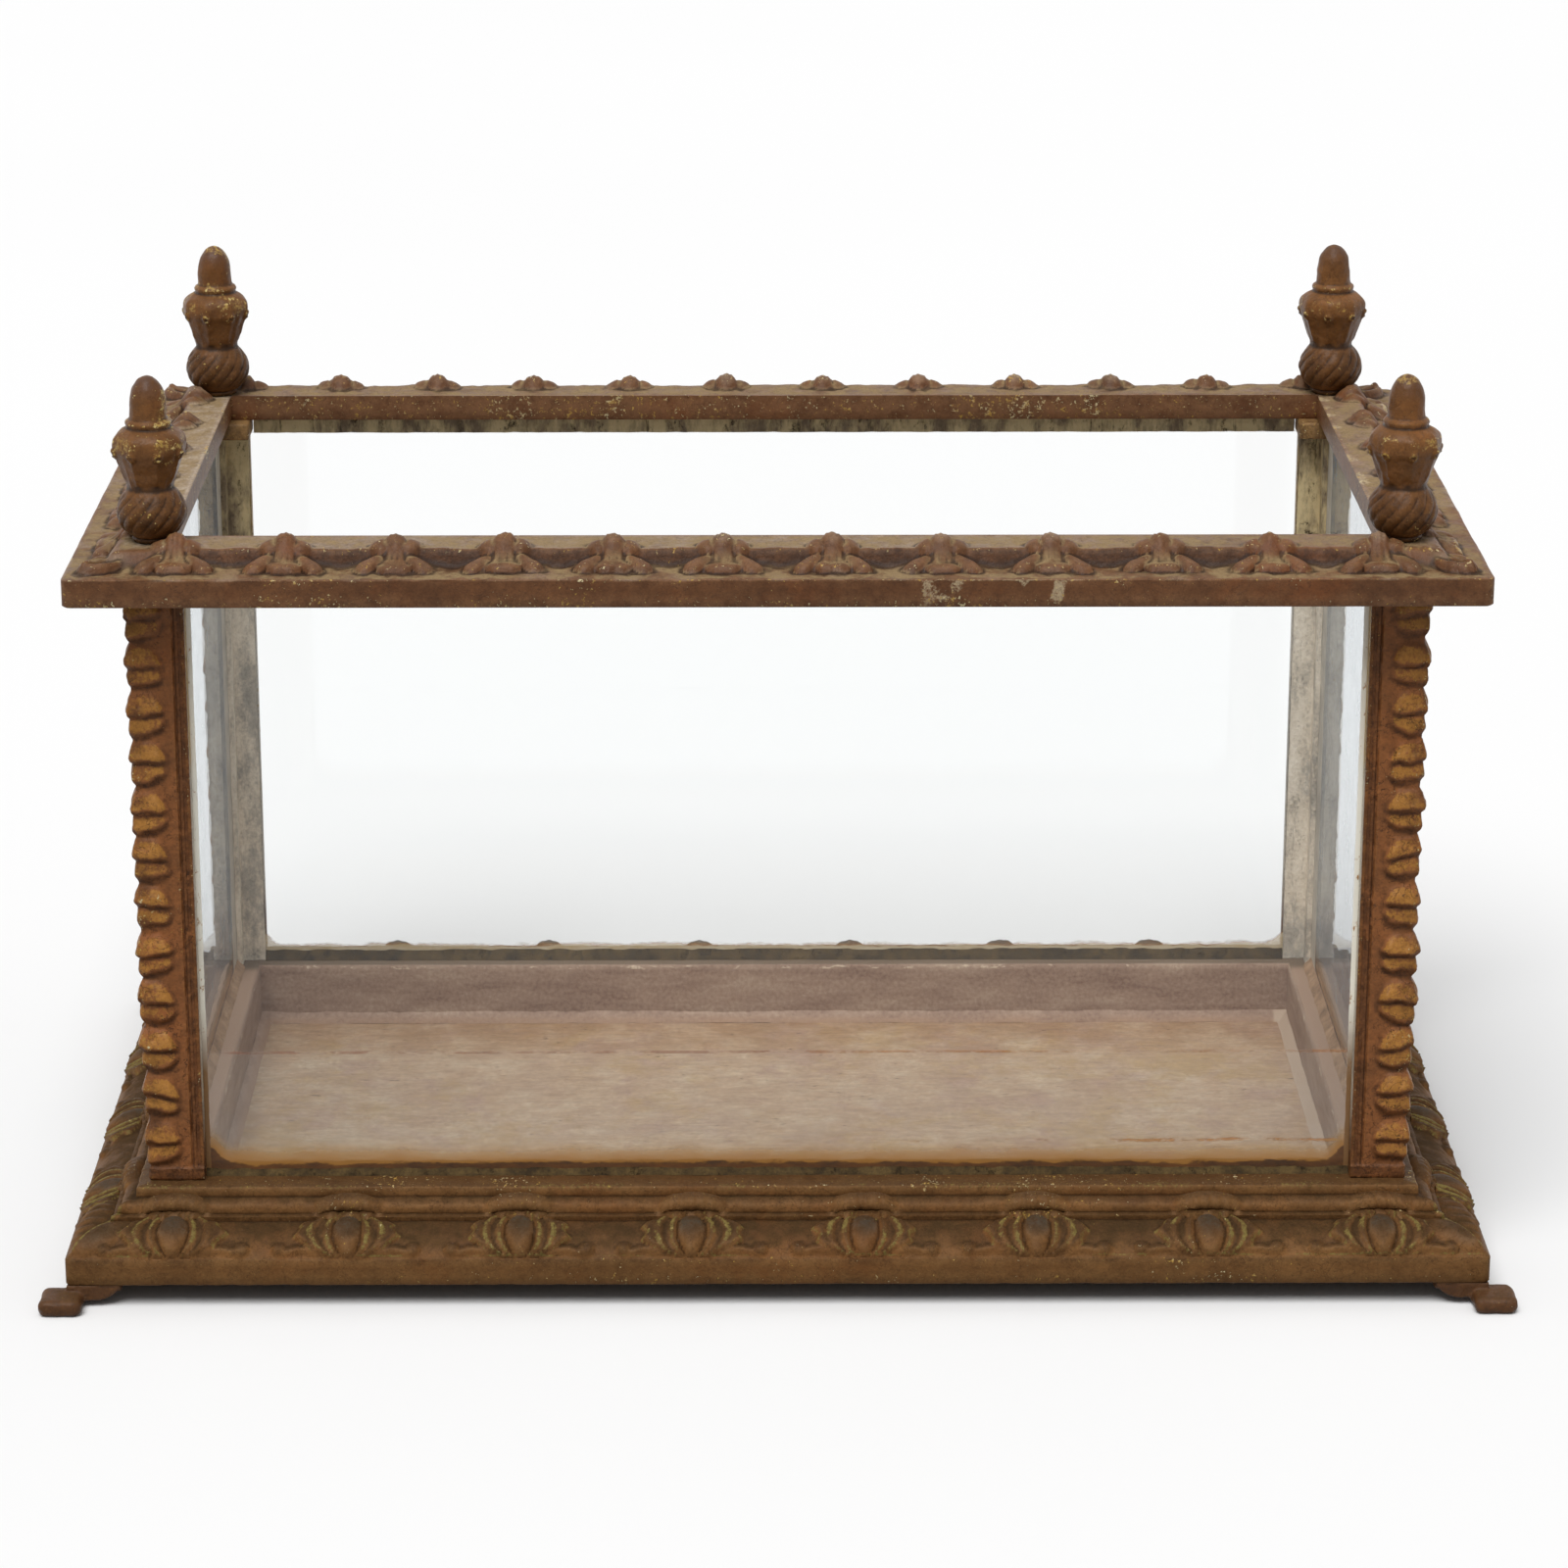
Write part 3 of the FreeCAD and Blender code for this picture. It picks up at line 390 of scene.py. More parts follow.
def casting(name, dark, light, warm, hollow, raised, gilt_and_highlight, dust, patina, warm_share=0.5, dust_share=0.6,
            chip=(206, 190, 148), chip_more=0, gloss=0.44, shine=0.18, crack=0.4, hollow_share=0.8,
            patina_low=0.15, soot_up=0, gild_chip=0.03, tan_from=None):
    """Old paint over cast iron: two browns in clouds, warm patches, hollows dark with dirty paint and painted
    shade, rubbed edges, gold paint with painted highlight, discoloured places, dust on what faces up, fine
    cracks, and specks of an older pale coat."""
    p = Paint(name)
    relief, grime, tint, gild = (p.field(v) for v in ("relief", *FIELDS))
    clouds = p.noise(34, 4, 0.62)
    blots = p.noise(8, 4, 0.68, 3)
    grain = p.noise(1.1, 3, 0.7, 5)
    broken = blots + grain * 0.5
    colour = p.ramp(clouds * 0.5 + blots * 0.5, (0.38, dark), (0.62, light))
    colour = p.mix(p.span(p.noise(46, 4, 0.65, 9), 0.50, 0.64) * warm_share, colour, warm)
    rubbed = p.span(relief, 0.62, 0.92) * p.span(blots, 0.36, 0.58, 0.2)
    colour = p.mix(rubbed * 0.35, colour, raised)
    aged = tint * p.span(broken, 0.58, 0.92, patina_low)
    # Low places by the relief take the hollow colour: dirty hollows and painted shade in them.
    dirt_and_shade = p.span(relief, 0.42, 0.12)
    if tan_from is not None:
        high = p.span(p.axis("Z"), tan_from - 0.006, tan_from + 0.006)
        patina = p.mix(high, patina, (196, 162, 106))
        streak = p.span(p.noise(3, 4, 0.7, 51, (1, 1, 0.14)), 0.53, 0.66)
        patina = p.mix(streak * p.span(high, 0, 1, 0.34, 0.85), patina, (66, 54, 38))
        smudge = p.span(p.noise(24, 5, 0.7, 53, (1, 1, 0.5)), 0.50, 0.64, 0, 0.5)
        patina = p.mix(smudge, patina, (112, 112, 106))
        dirt_and_shade = dirt_and_shade * p.span(tint, 0.3, 0.9, 1.0, 0.2)
    colour = p.mix(aged, colour, patina)
    up = p.span(p.axis("Z", "Normal"), 0.60, 0.97)
    settled = up * p.span(relief, 0.88, 0.5) * p.span(p.noise(12, 5, 0.72, 12), 0.38, 0.58, 0.15)
    colour = p.mix(settled * dust_share, colour, dust)
    if soot_up:
        colour = p.mix(up * soot_up, colour, hollow)
    flakes = p.noise(1.7, 4, 0.7, 21)
    # Gold-coloured flecks where the third field asks: gold paint, and painted highlight on the post leaves,
    # plinth ridges and upper finials.
    flecked = gild + (flakes - 0.5) * 1.8
    gilded_and_highlit = p.span(flecked, 0.36, 0.80) * p.span(gild, 0.05, 0.35)
    colour = p.mix(gilded_and_highlit * 0.9, colour, gilt_and_highlight)
    colour = p.mix(dirt_and_shade * p.span(blots, 0.25, 0.6, 0.5 * hollow_share, hollow_share), colour, hollow)
    # The first field darkens to the hollow colour: dirty paint and painted shade where the builders put it.
    soiled_and_shaded = grime * p.span(broken, 0.50, 0.95, 1.0, 0.45)
    colour = p.mix(soiled_and_shaded, colour, hollow)
    crazed = p.span(abs(p.noise(7, 4, 0.6, 41, distortion=0.6) - 0.5), 0.014, 0.002)
    cracks = crazed * p.span(clouds, 0.42, 0.62, 0.2, crack)
    colour = p.mix(cracks, colour, hollow)
    colour = p.mix(1.0, colour, p.ramp(grain, (0.30, 0.70), (0.68, 1.0)), "MULTIPLY")
    where = p.span(p.noise(30, 3, 0.6, 17), 0.46, 0.72, 0, 0.085) + p.span(relief, 0.55, 0.95, 0, 0.085)
    chips = p.span(flakes + (where + gild * gild_chip), 0.710 - chip_more, 0.735 - chip_more)
    colour = p.mix(chips, colour, p.mix(p.span(blots, 0.40, 0.55), chip, (176, 140, 70)))
    rough = grain * 0.16 + soiled_and_shaded * 0.15 + settled * 0.3 + (gloss - 0.08)
    pits = p.noise(0.8, 3, 0.6, 31) * 0.45 + p.noise(3.2, 4, 0.62, 33) * 1.3
    return p.finish(colour, rough, pits - (chips | cracks) * 0.4, 0.4, 0.85, Specular_IOR_Level=shine)


plinth_paint = casting("plinth_paint", (103, 71, 41), (133, 93, 54), (124, 78, 41), (42, 28, 17),
                       (120, 92, 58), (130, 114, 62), (80, 64, 38), (90, 90, 82), warm_share=0.4,
                       dust_share=0.65, chip_more=-0.026, hollow_share=0.5, soot_up=0.52,
                       gloss=0.5, shine=0.08)
rim_paint = casting("rim_paint", (92, 59, 36), (122, 81, 51), (128, 73, 38), (50, 32, 21),
                    (148, 110, 78), (196, 174, 140), (152, 128, 92), (188, 170, 148), dust_share=0.95,
                    warm_share=0.45, chip_more=0.010, hollow_share=0.9, patina_low=0.45, gild_chip=0.10)
post_paint = casting("post_paint", (122, 78, 45), (154, 97, 55), (158, 93, 48), (48, 28, 15),
                     (160, 108, 56), (178, 124, 58), (122, 84, 46), (222, 212, 194), warm_share=0.4,
                     dust_share=0.2, crack=0.85, patina_low=0.88, hollow_share=0.65, tan_from=0.238)
finial_paint = casting("finial_paint", (106, 69, 36), (134, 89, 48), (134, 84, 42), (40, 25, 14),
                       (142, 98, 52), (204, 168, 98), (112, 78, 46), (78, 60, 56), dust_share=0.2,
                       gloss=0.34, shine=0.16, chip=(218, 196, 132), chip_more=0.012, gild_chip=0.19)
foot_paint = casting("foot_paint", (78, 50, 29), (108, 72, 42), (114, 68, 34), (42, 27, 15),
                     (132, 100, 62), (142, 118, 78), (88, 64, 38), (110, 96, 74), chip_more=0.012)


def putty_material(name, pale, tan, grey, black, soot_share=0.7, yellow_from=None):
    """Dry putty: mottled grey and tan in upright streaks, with dark specks and a crusty face, and yellower
    and sootier high up."""
    p = Paint(name)
    blots = p.noise(12, 6, 0.72, stretch=(1, 1, 0.35))
    fine = p.noise(1.8, 4, 0.75, 4)
    colour = p.ramp(blots * 0.68 + fine * 0.32, (0.40, grey), (0.5, tan), (0.60, pale))
    lines = p.span(p.noise(4.5, 5, 0.7, 8, (1, 1, 0.14)), 0.57, 0.68)
    soot = p.span(p.noise(6, 6, 0.8, 14, (1, 1, 0.6)), 0.56, 0.68)
    marks = (lines * 0.8 | soot) * soot_share
    if yellow_from is not None:
        high = p.span(p.axis("Z"), yellow_from, yellow_from + 0.02)
        colour = p.mix(high * 0.75, colour, p.ramp(blots, (0.42, (98, 76, 42)), (0.57, (204, 182, 124))))
        marks = marks * p.span(high, 0, 1, 0.55, 1.5)
        smudge = p.span(p.noise(34, 6, 0.75, 61, (1, 1, 0.6)), 0.51, 0.62, 0, 0.45)
        colour = p.mix(smudge * p.span(high, 1, 0), colour, (112, 114, 114))
    colour = p.mix(marks, colour, black)
    return p.finish(colour, p.span(fine, 0.2, 0.8, 0.75, 0.95), p.noise(2.6, 4, 0.65, 6) - marks, 0.6, 0.9,
                    Specular_IOR_Level=0.15)


putty_paint = putty_material("putty_paint", (242, 234, 218), (222, 212, 194), (180, 172, 158), (58, 50, 38),
                             yellow_from=0.232)
bead_paint = putty_material("bead_paint", (92, 74, 44), (72, 57, 34), (50, 39, 24), (28, 20, 13))
side_bead_paint = putty_material("side_bead_paint", (186, 154, 122), (166, 134, 104), (138, 110, 84),
                                 (84, 66, 48), 0.5)


def floor_material():
    """The tan floor: mauve and ochre clouds in streaks along the tank, stains and fine dark marks."""
    p = Paint("floor_paint")
    streaks = p.noise(15, 8, 0.82, stretch=(0.8, 1, 1))
    blots = p.noise(44, 8, 0.78, 2)
    fine = p.noise(2, 4, 0.7, 4)
    colour = p.ramp(streaks * 0.45 + blots * 0.55,
                    (0.36, (170, 136, 106)), (0.5, (194, 164, 133)), (0.64, (214, 192, 163)))
    mauve = p.span(p.noise(40, 7, 0.75, 7), 0.50, 0.62) * 0.5
    ochre = p.span(p.noise(60, 7, 0.75, 9), 0.50, 0.64) * 0.6
    rust = p.span(p.axis("Y"), 0.060, 0.118) * p.span(p.noise(22, 4, 0.7, 15), 0.36, 0.60, 0.2, 0.7)
    in_corner = p.span(p.axis("X"), -0.10, -0.22) * p.span(p.axis("Y"), -0.02, -0.10, 0, 0.5)
    marks = p.span(p.noise(3.4, 3, 0.6, 19, (0.5, 1.6, 1)), 0.67, 0.72) * 0.8
    for share, stain in ((mauve, (172, 138, 124)), (ochre, (186, 152, 96)), (rust, (162, 124, 86)),
                         (in_corner, (190, 158, 98)), (marks, (92, 66, 48))):
        colour = p.mix(share, colour, stain)
    grain = p.noise(5, 5, 0.8, 23, (0.3, 1.5, 1))
    colour = p.mix(1.0, colour, p.ramp(grain, (0.34, 0.76), (0.60, 1.0)), "MULTIPLY")
    colour = p.mix(1.0, colour, p.ramp(fine, (0.3, 0.76), (0.66, 1.0)), "MULTIPLY")
    return p.finish(colour, p.span(blots, 0.3, 0.7, 0.55, 0.8), streaks * 0.6 + fine, 0.4, 0.6,
                    Specular_IOR_Level=0.25)


def tray_material(name="tray_paint", grey_from=None):
    """The tray wall: mauve-brown paint in streaks, rusty low down, with pale chips at its upper edge."""
    p = Paint(name)
    clouds = p.noise(18, 6, 0.7, stretch=(0.3, 0.3, 1.3))
    fine = p.noise(2, 4, 0.7, 4)
    z = p.axis("Z")
    colour = p.ramp(clouds * 0.6 + fine * 0.4,
                    (0.38, (130, 102, 84)), (0.52, (164, 138, 118)), (0.64, (186, 164, 142)))
    low = p.span(z, 0.0195, 0.0160) * p.span(clouds, 0.35, 0.6, 0.2, 0.7)
    colour = p.mix(low, colour, (158, 122, 92))
    if grey_from is not None:
        colour = p.mix(p.span(p.axis("X"), grey_from, grey_from + 0.002), colour, (184, 162, 140))
    at_back = p.span(p.axis("Y"), 0.118, 0.128)
    colour = p.mix(p.span(z, 0.0445, 0.0453) * 0.85, colour, p.mix(at_back, (158, 130, 108), (96, 80, 60)))
    near_edge = p.span(abs(z - 0.0436), 0.0020, 0.0004, 0, 0.16)
    chips = p.span(p.noise(8, 5, 0.8, 9, (0.6, 0.6, 1.6)) + near_edge, 0.715, 0.745)
    colour = p.mix(chips * 0.75, colour, (214, 196, 170))
    return p.finish(colour, p.span(fine, 0.2, 0.8, 0.55, 0.8), clouds + fine, 0.5, 0.7,
                    Specular_IOR_Level=0.25)


def steel_material():
    """Dull turned steel with a little rust."""
    p = Paint("screw_steel")
    lines = p.noise(1.2, 3, 0.6, stretch=(0.2, 0.2, 3))
    rust = p.span(p.noise(4, 4, 0.7, 3), 0.5, 0.62)
    colour = p.mix(rust, p.ramp(lines, (0.3, (120, 116, 110)), (0.7, (176, 172, 164))), (118, 70, 40))
    return p.finish(colour, p.span(rust, 0, 1, 0.38, 0.85), lines, 0.1, 0.5, Metallic=0.8)


def pane_material(name, bottom, line_at=None, cream_from=None, along="X", scum=1, crust=1, film_and_reflection=0, rise=1,
                  edge=((58, 38, 20), (104, 64, 28))):
    """Clear sheet glass with dried scum at the bottom, and its stains where the putty meets it."""
    p = Paint(name)
    z = p.axis("Z")
    blots = p.noise(20, 5, 0.7)
    runs = p.noise(7, 5, 0.7, 5, (0.35, 0.35, 1))
    across = abs(p.axis(along))
    if along == "Y":
        at_back = p.span(p.axis("Y"), -0.01, 0.01)
        across = across + at_back * 0.0185
    corner = p.span(across, cream_from - 0.016, cream_from + 0.001) ** 3
    ragged = z + (runs - 0.5) * 0.008 - corner * 0.008
    haze = p.span(z, bottom + 0.062, bottom + 0.004) * (0.09 * scum) * p.span(blots, 0.25, 0.75, 0.6, 1.3)
    smear = p.span(runs, 0.58, 0.80, 0, 0.035 * scum)
    haze = haze + smear * p.span(z, bottom + 0.10, bottom + 0.03)
    tint = p.ramp(blots, (0.35, (206, 190, 172)), (0.65, (228, 222, 214)))
    # On the side panes a bluish haze over the whole pane: partly scum on the glass and partly painted
    # reflection of the surroundings.
    if film_and_reflection:
        haze = haze | p.span(blots, 0.3, 0.7, film_and_reflection * 0.8, film_and_reflection)
        tint = p.ramp(blots, (0.35, (170, 180, 192)), (0.65, (200, 210, 220)))
    if line_at is not None:
        haze = haze + p.span(z, line_at + 0.0006, line_at - 0.0004) * 0.075
        mark = p.span(abs(z - line_at), 0.0011, 0.0002) * p.span(runs, 0.42, 0.60, 0.05, 0.6)
        right = p.span(p.axis("X"), -0.02, 0.05)
        dash = abs(z + (blots - 0.5) * 0.004 - 0.0610)
        mark = mark | p.span(dash, 0.0014, 0.0002) * (p.span(runs, 0.46, 0.60) * right * 0.8)
        haze = haze | mark
        tint = p.mix(p.span(mark, 0, 0.3), tint, p.mix(right, (146, 96, 76), (170, 108, 54)))
    ochre = p.span(ragged, bottom + 0.0035 + 0.016 * rise, bottom + 0.0035)
    rust = p.span(ragged, bottom + 0.0042, bottom + 0.0030)
    cream = p.span(across + (p.noise(6, 4, 0.7, 8) - 0.5) * 0.0007, cream_from, cream_from + 0.0004)
    haze = haze | ochre ** 1.5 * (0.85 * crust) | rust * (0.96 * crust) | cream * 0.95
    tint = p.mix(p.span(ochre, 0, 0.8), tint, p.mix(ochre, (210, 182, 128), (172, 120, 54)))
    tint = p.mix(rust, tint, p.ramp(runs, (0.35, edge[0]), (0.6, edge[1])))
    spots = p.span(p.noise(3.5, 4, 0.75, 12, (1, 1, 0.6)), 0.58, 0.66)
    edging = p.mix(spots, (250, 246, 232), (172, 122, 62))
    edging = p.mix(p.span(ragged, bottom + 0.075, bottom + 0.035), edging, (128, 92, 52))
    if along == "Y":
        edging = p.mix(at_back, edging, p.ramp(blots, (0.36, (158, 150, 136)), (0.64, (206, 198, 182))))
    p.finish(p.mix(cream, tint, edging), p.span(blots, 0.3, 0.7, 0.45, 0.7))
    outside = 1 - p.out(p.node("ShaderNodeNewGeometry"), "Backfacing")
    clear = p.node("ShaderNodeBsdfTransparent", {"Color": (0.995, 0.998, 0.997, 1)})
    shine = p.node("ShaderNodeBsdfGlossy", {"Roughness": 0.03, "Color": (0.93, 0.97, 1, 1)})
    fresnel = p.out(p.node("ShaderNodeFresnel", {"IOR": 1.5}), "Fac")
    sheet = p.blend(fresnel * outside, p.out(clear), p.out(shine))
    whole = p.blend(haze * outside, sheet, p.out(p.shader))
    p.feed(p.tree.nodes["Material Output"].inputs["Surface"], whole)
    return p.material


# Plinth: the carved moulding, and the tray inside it
LIP, OVOLO_END, TORUS_START, TORUS_END = (1.5, 24), (19.5, 33), (22.6, 35.2), (27, 40.5)
outside = path(
    line((0.7, BASE_UNDER), (0, 11.3)), line((0, 11.3), (0, 22.3), 3), line((0, 22.3), LIP, 2),
    arc(LIP, OVOLO_END, 24, 20), line(OVOLO_END, (19.5, 35), 2), line((19.5, 35), TORUS_START, 2),
    arc(TORUS_START, TORUS_END, 3.9, 7), line(TORUS_END, (29, 40.8)), line((29, 40.8), (29.3, 44.7), 2),
    line((29.3, 44.7), (30.2, LEDGE)), line((30.2, LEDGE), (46.5, LEDGE), 2))
inside = [(46.5, LEDGE), (46.5, 40.5), (34, 40.5), (24.5, 28), (5, 18), (5, BASE_UNDER)]
moulding = [(a, a, z) for a, z in path(outside, inside)]
travel = np.cumsum([0] + [math.dist(p[::2], q[::2]) for p, q in zip(moulding, moulding[1:])])
lip_at = travel[min(range(len(outside)), key=lambda i: math.dist(outside[i], LIP))]
moulding_normals = profile_normals(moulding)
carvable = len(outside)


def egg_and_husks(side, c, from_mitre, near, far, z):
    """How far the carved ornaments stand out of the moulding."""
    short = side % 2
    t = travel - lip_at
    x, which = nearest(c, EGGS_SHORT if short else EGGS_LONG)
    spot = spread(c, t, side * 40)
    drift = lumps(spot, 14, 6)
    x = x + 0.7 * lumps(spot, 11, 7)
    ax = np.abs(x)
    # Egg, the husks and pointed leaf on each side of it, and the stem and knob at their foot
    et = (t - 10.8) / 12.4
    egg = 4 * dome(np.hypot(ax / (6.6 - 1.2 * np.clip(-et, 0, 1)), et)) ** 0.8
    u = ax / np.maximum(dome((t - 11) / 12.6), 0.05)
    tuck = band(t, -1.4, 0.4, 22.6, 25.2)
    leaf_edge = 21.5 + 1.6 * np.sin(t * 0.75 + which)
    leaf = 1.7 * band(u, 16.6, 18.2, leaf_edge - 1, leaf_edge + 1.2) * band(t, 1, 5, 15, 21)
    husk = 1.1 * band(u, 5.4, 6.8, 19.5, 24) + 1.6 * dome((u - 9) / 1.8) ** 1.3
    husk = (husk + 0.5 * dome((u - 12.2) / 1.8) + 1.8 * dome((u - 15.4) / 2) ** 1.3 + leaf) * tuck
    knob = 2 * dome(np.hypot((ax - 29.8) / 3.5, (t - 2.9) / 3.2))
    stem_t = 1.6 + 1.3 * np.sin(np.clip((ax - 14) / 13, 0, 1) * math.pi)
    stem = 1.5 * dome((t - stem_t) / 1.9) * band(ax, 11, 15, 27, 29.5)
    d = highest(egg, husk, knob, stem) * (1 + 0.12 * lattice(which, side, 0, 5))
    # The hood over the egg, which is smaller where it shows through the back pane
    arch = 24.6 + 2.2 * dome(x / 12.5)
    groove = 0.7 * step(1.5, 0.2, np.abs(t - arch)) * step(14.5, 8, ax)
    cap_t = (t - arch - 0.9) / 7.6
    cap = 5.6 * dome(x / 8.6) if side == 2 else 3.7 * dome(x / 15) ** 1.4
    cap = cap * band(cap_t, -0.22, 0.26, 0.55, 1.25)
    cap = cap * (1 + 0.16 * np.cos(x * 1.4 + drift) * step(0.7, 0.2, cap_t))
    fill = 1.6 * step(14, 8.5, ax) * band(t, 18.5, 22, 25.2, 28.2)
    scroll = 1.1 * dome(np.hypot((ax - 14) / 2.6, (t - 25.6) / 2.4))
    d = highest(d, fill, cap, scroll) - groove
    d = d + 0.9 * band(t, 31.5, 34.6, 36.2, 38.4) + 0.5 * band(t, 22.4, 23.4, 25, 27)
    # Leaf and spine at the mitres
    m = from_mitre + 1.2 * drift
    centre, reach, tall = (17, 17, 3.2) if short else (5, 12.5, 2.2)
    corner_leaf = tall * np.clip(1 - np.hypot((m - centre) / reach, (t - 10.5) / 10.5) ** 2.2, 0, 1) ** 0.8
    if short:
        corner_leaf = corner_leaf * (1 + 0.16 * np.cos((m * 0.8 + t * 0.9) * 1.25 + 1.2 * drift))
    spine = step(2.4, 0.4, from_mitre) * band(t, 0.5, 4, 28, 34)
    d = highest(d * step(1, 7, from_mitre), corner_leaf, spine) * band(t, -1.6, 0.6, 33.5, 36.5)
    wear = lumps(spot, 3.6, 3) * 0.26 + lumps(spot, 9, 2) * 0.20 + lumps(spot, 24, 4) * 0.12
    d = (d + wear * step(0, 8, from_mitre)) * (np.arange(len(z)) < carvable - 1)
    d = np.where(z < 24, np.minimum(d, 0) * 0.8, d)
    # Dark in the gap under the torus, the quirk over the egg, the grooves, between the husks, round the knobs
    # and below the lip: dirty paint and painted shade in these recesses.
    grime = 0.28 * band(t, 34.2, 35.4, 36.6, 38.6) + 0.6 * step(1.3, 0.5, np.abs(t - 21.6)) * step(10, 15, ax)
    grime = grime + 0.9 * groove + 0.45 * band(t, -4, -2.6, -1.6, -0.8) * step(-0.6, 0.3, lumps(spot, 20, 12))
    grime = grime + (0.35 * band(u, 5.2, 6.2, 6.8, 7.6) + 0.35 * (np.abs(u - 13.2) < 0.8)
                     + 0.4 * band(u, 17.6, 18.4, 19.6, 20.6)) * tuck + 0.4 * step(0.5, 2, knob)
    patina = step(0.8, 3.2, egg) * step(4, 17, t) * 0.85
    patina = patina + (0 if short else 0.45 * step(0.8, 2.6, corner_leaf))
    patina = patina + (0.9 * step(2.5, 5, cap) if side == 2 else 0)
    # Gold-coloured lines along the husk crests, the lip, the mitre spines, the leaf edges and the ledge edge:
    # partly gold paint and partly painted highlight on these ridges.
    gild = 0.7 * highest(step(2, 0.6, np.abs(u - 9.4)), step(2.4, 0.6, np.abs(u - 15.8))) * tuck
    gild = gild * step(-1, 0, lumps(spot, 6, 15))
    lip_gild = 0.62 * step(1.1, 0.3, np.abs(t - 0.1)) * step(-0.5, 0.35, lumps(spot, 22, 12))
    gild = highest(gild, lip_gild, 0.7 * spine)
    gild = gild + 0.55 * step(2, 0.6, np.abs(u - leaf_edge)) * tuck * step(0.5, 3, t)
    gild = gild + 0.5 * band(t, 39.6, 40.4, 41.2, 42.6) * step(-0.3, 0.5, lumps(spot, 18, 13))
    inward, upward = (d * moulding_normals[:, i] for i in (0, 1))
    return inward + rounding(3, from_mitre, far), upward, grime, patina, gild


points, faces, fields = ring(BASE, 70, 0.98, moulding, egg_and_husks)
made("plinth_moulding", points, faces, plinth_paint, ["base_plinth"], fields=fields, depth=0.7)


def still(side, c, from_mitre, near, far, z):
    """A small unevenness on plain castings."""
    wave = lumps(spread(c, z, side * 30), 16, 8) * 0.25 * step(0, 10, from_mitre)
    wave = wave * (z > 12) * (z < 45)
    return wave, 0 * wave


tray = path(line((46.5, LEDGE), (55.8, LEDGE), 4), line((55.8, LEDGE), (57, 44.2), 2),
            line((57, 44.2), (57, 11.5), 12), line((57, 11.5), (66, 11.5), 2), [(66, 8.5)],
            line((66, 8.5), (53, 8.5), 2), line((53, 8.5), (53, 40.5), 4), [(46.5, 40.5), (46.5, 42.5)])
points, faces, fields = ring(BASE, 75, 4, [(a, a + (0.5 if a > 46.6 else 0), z) for a, z in tray], still)
made("plinth_tray", points, faces, tray_material(), ["base_plinth"])


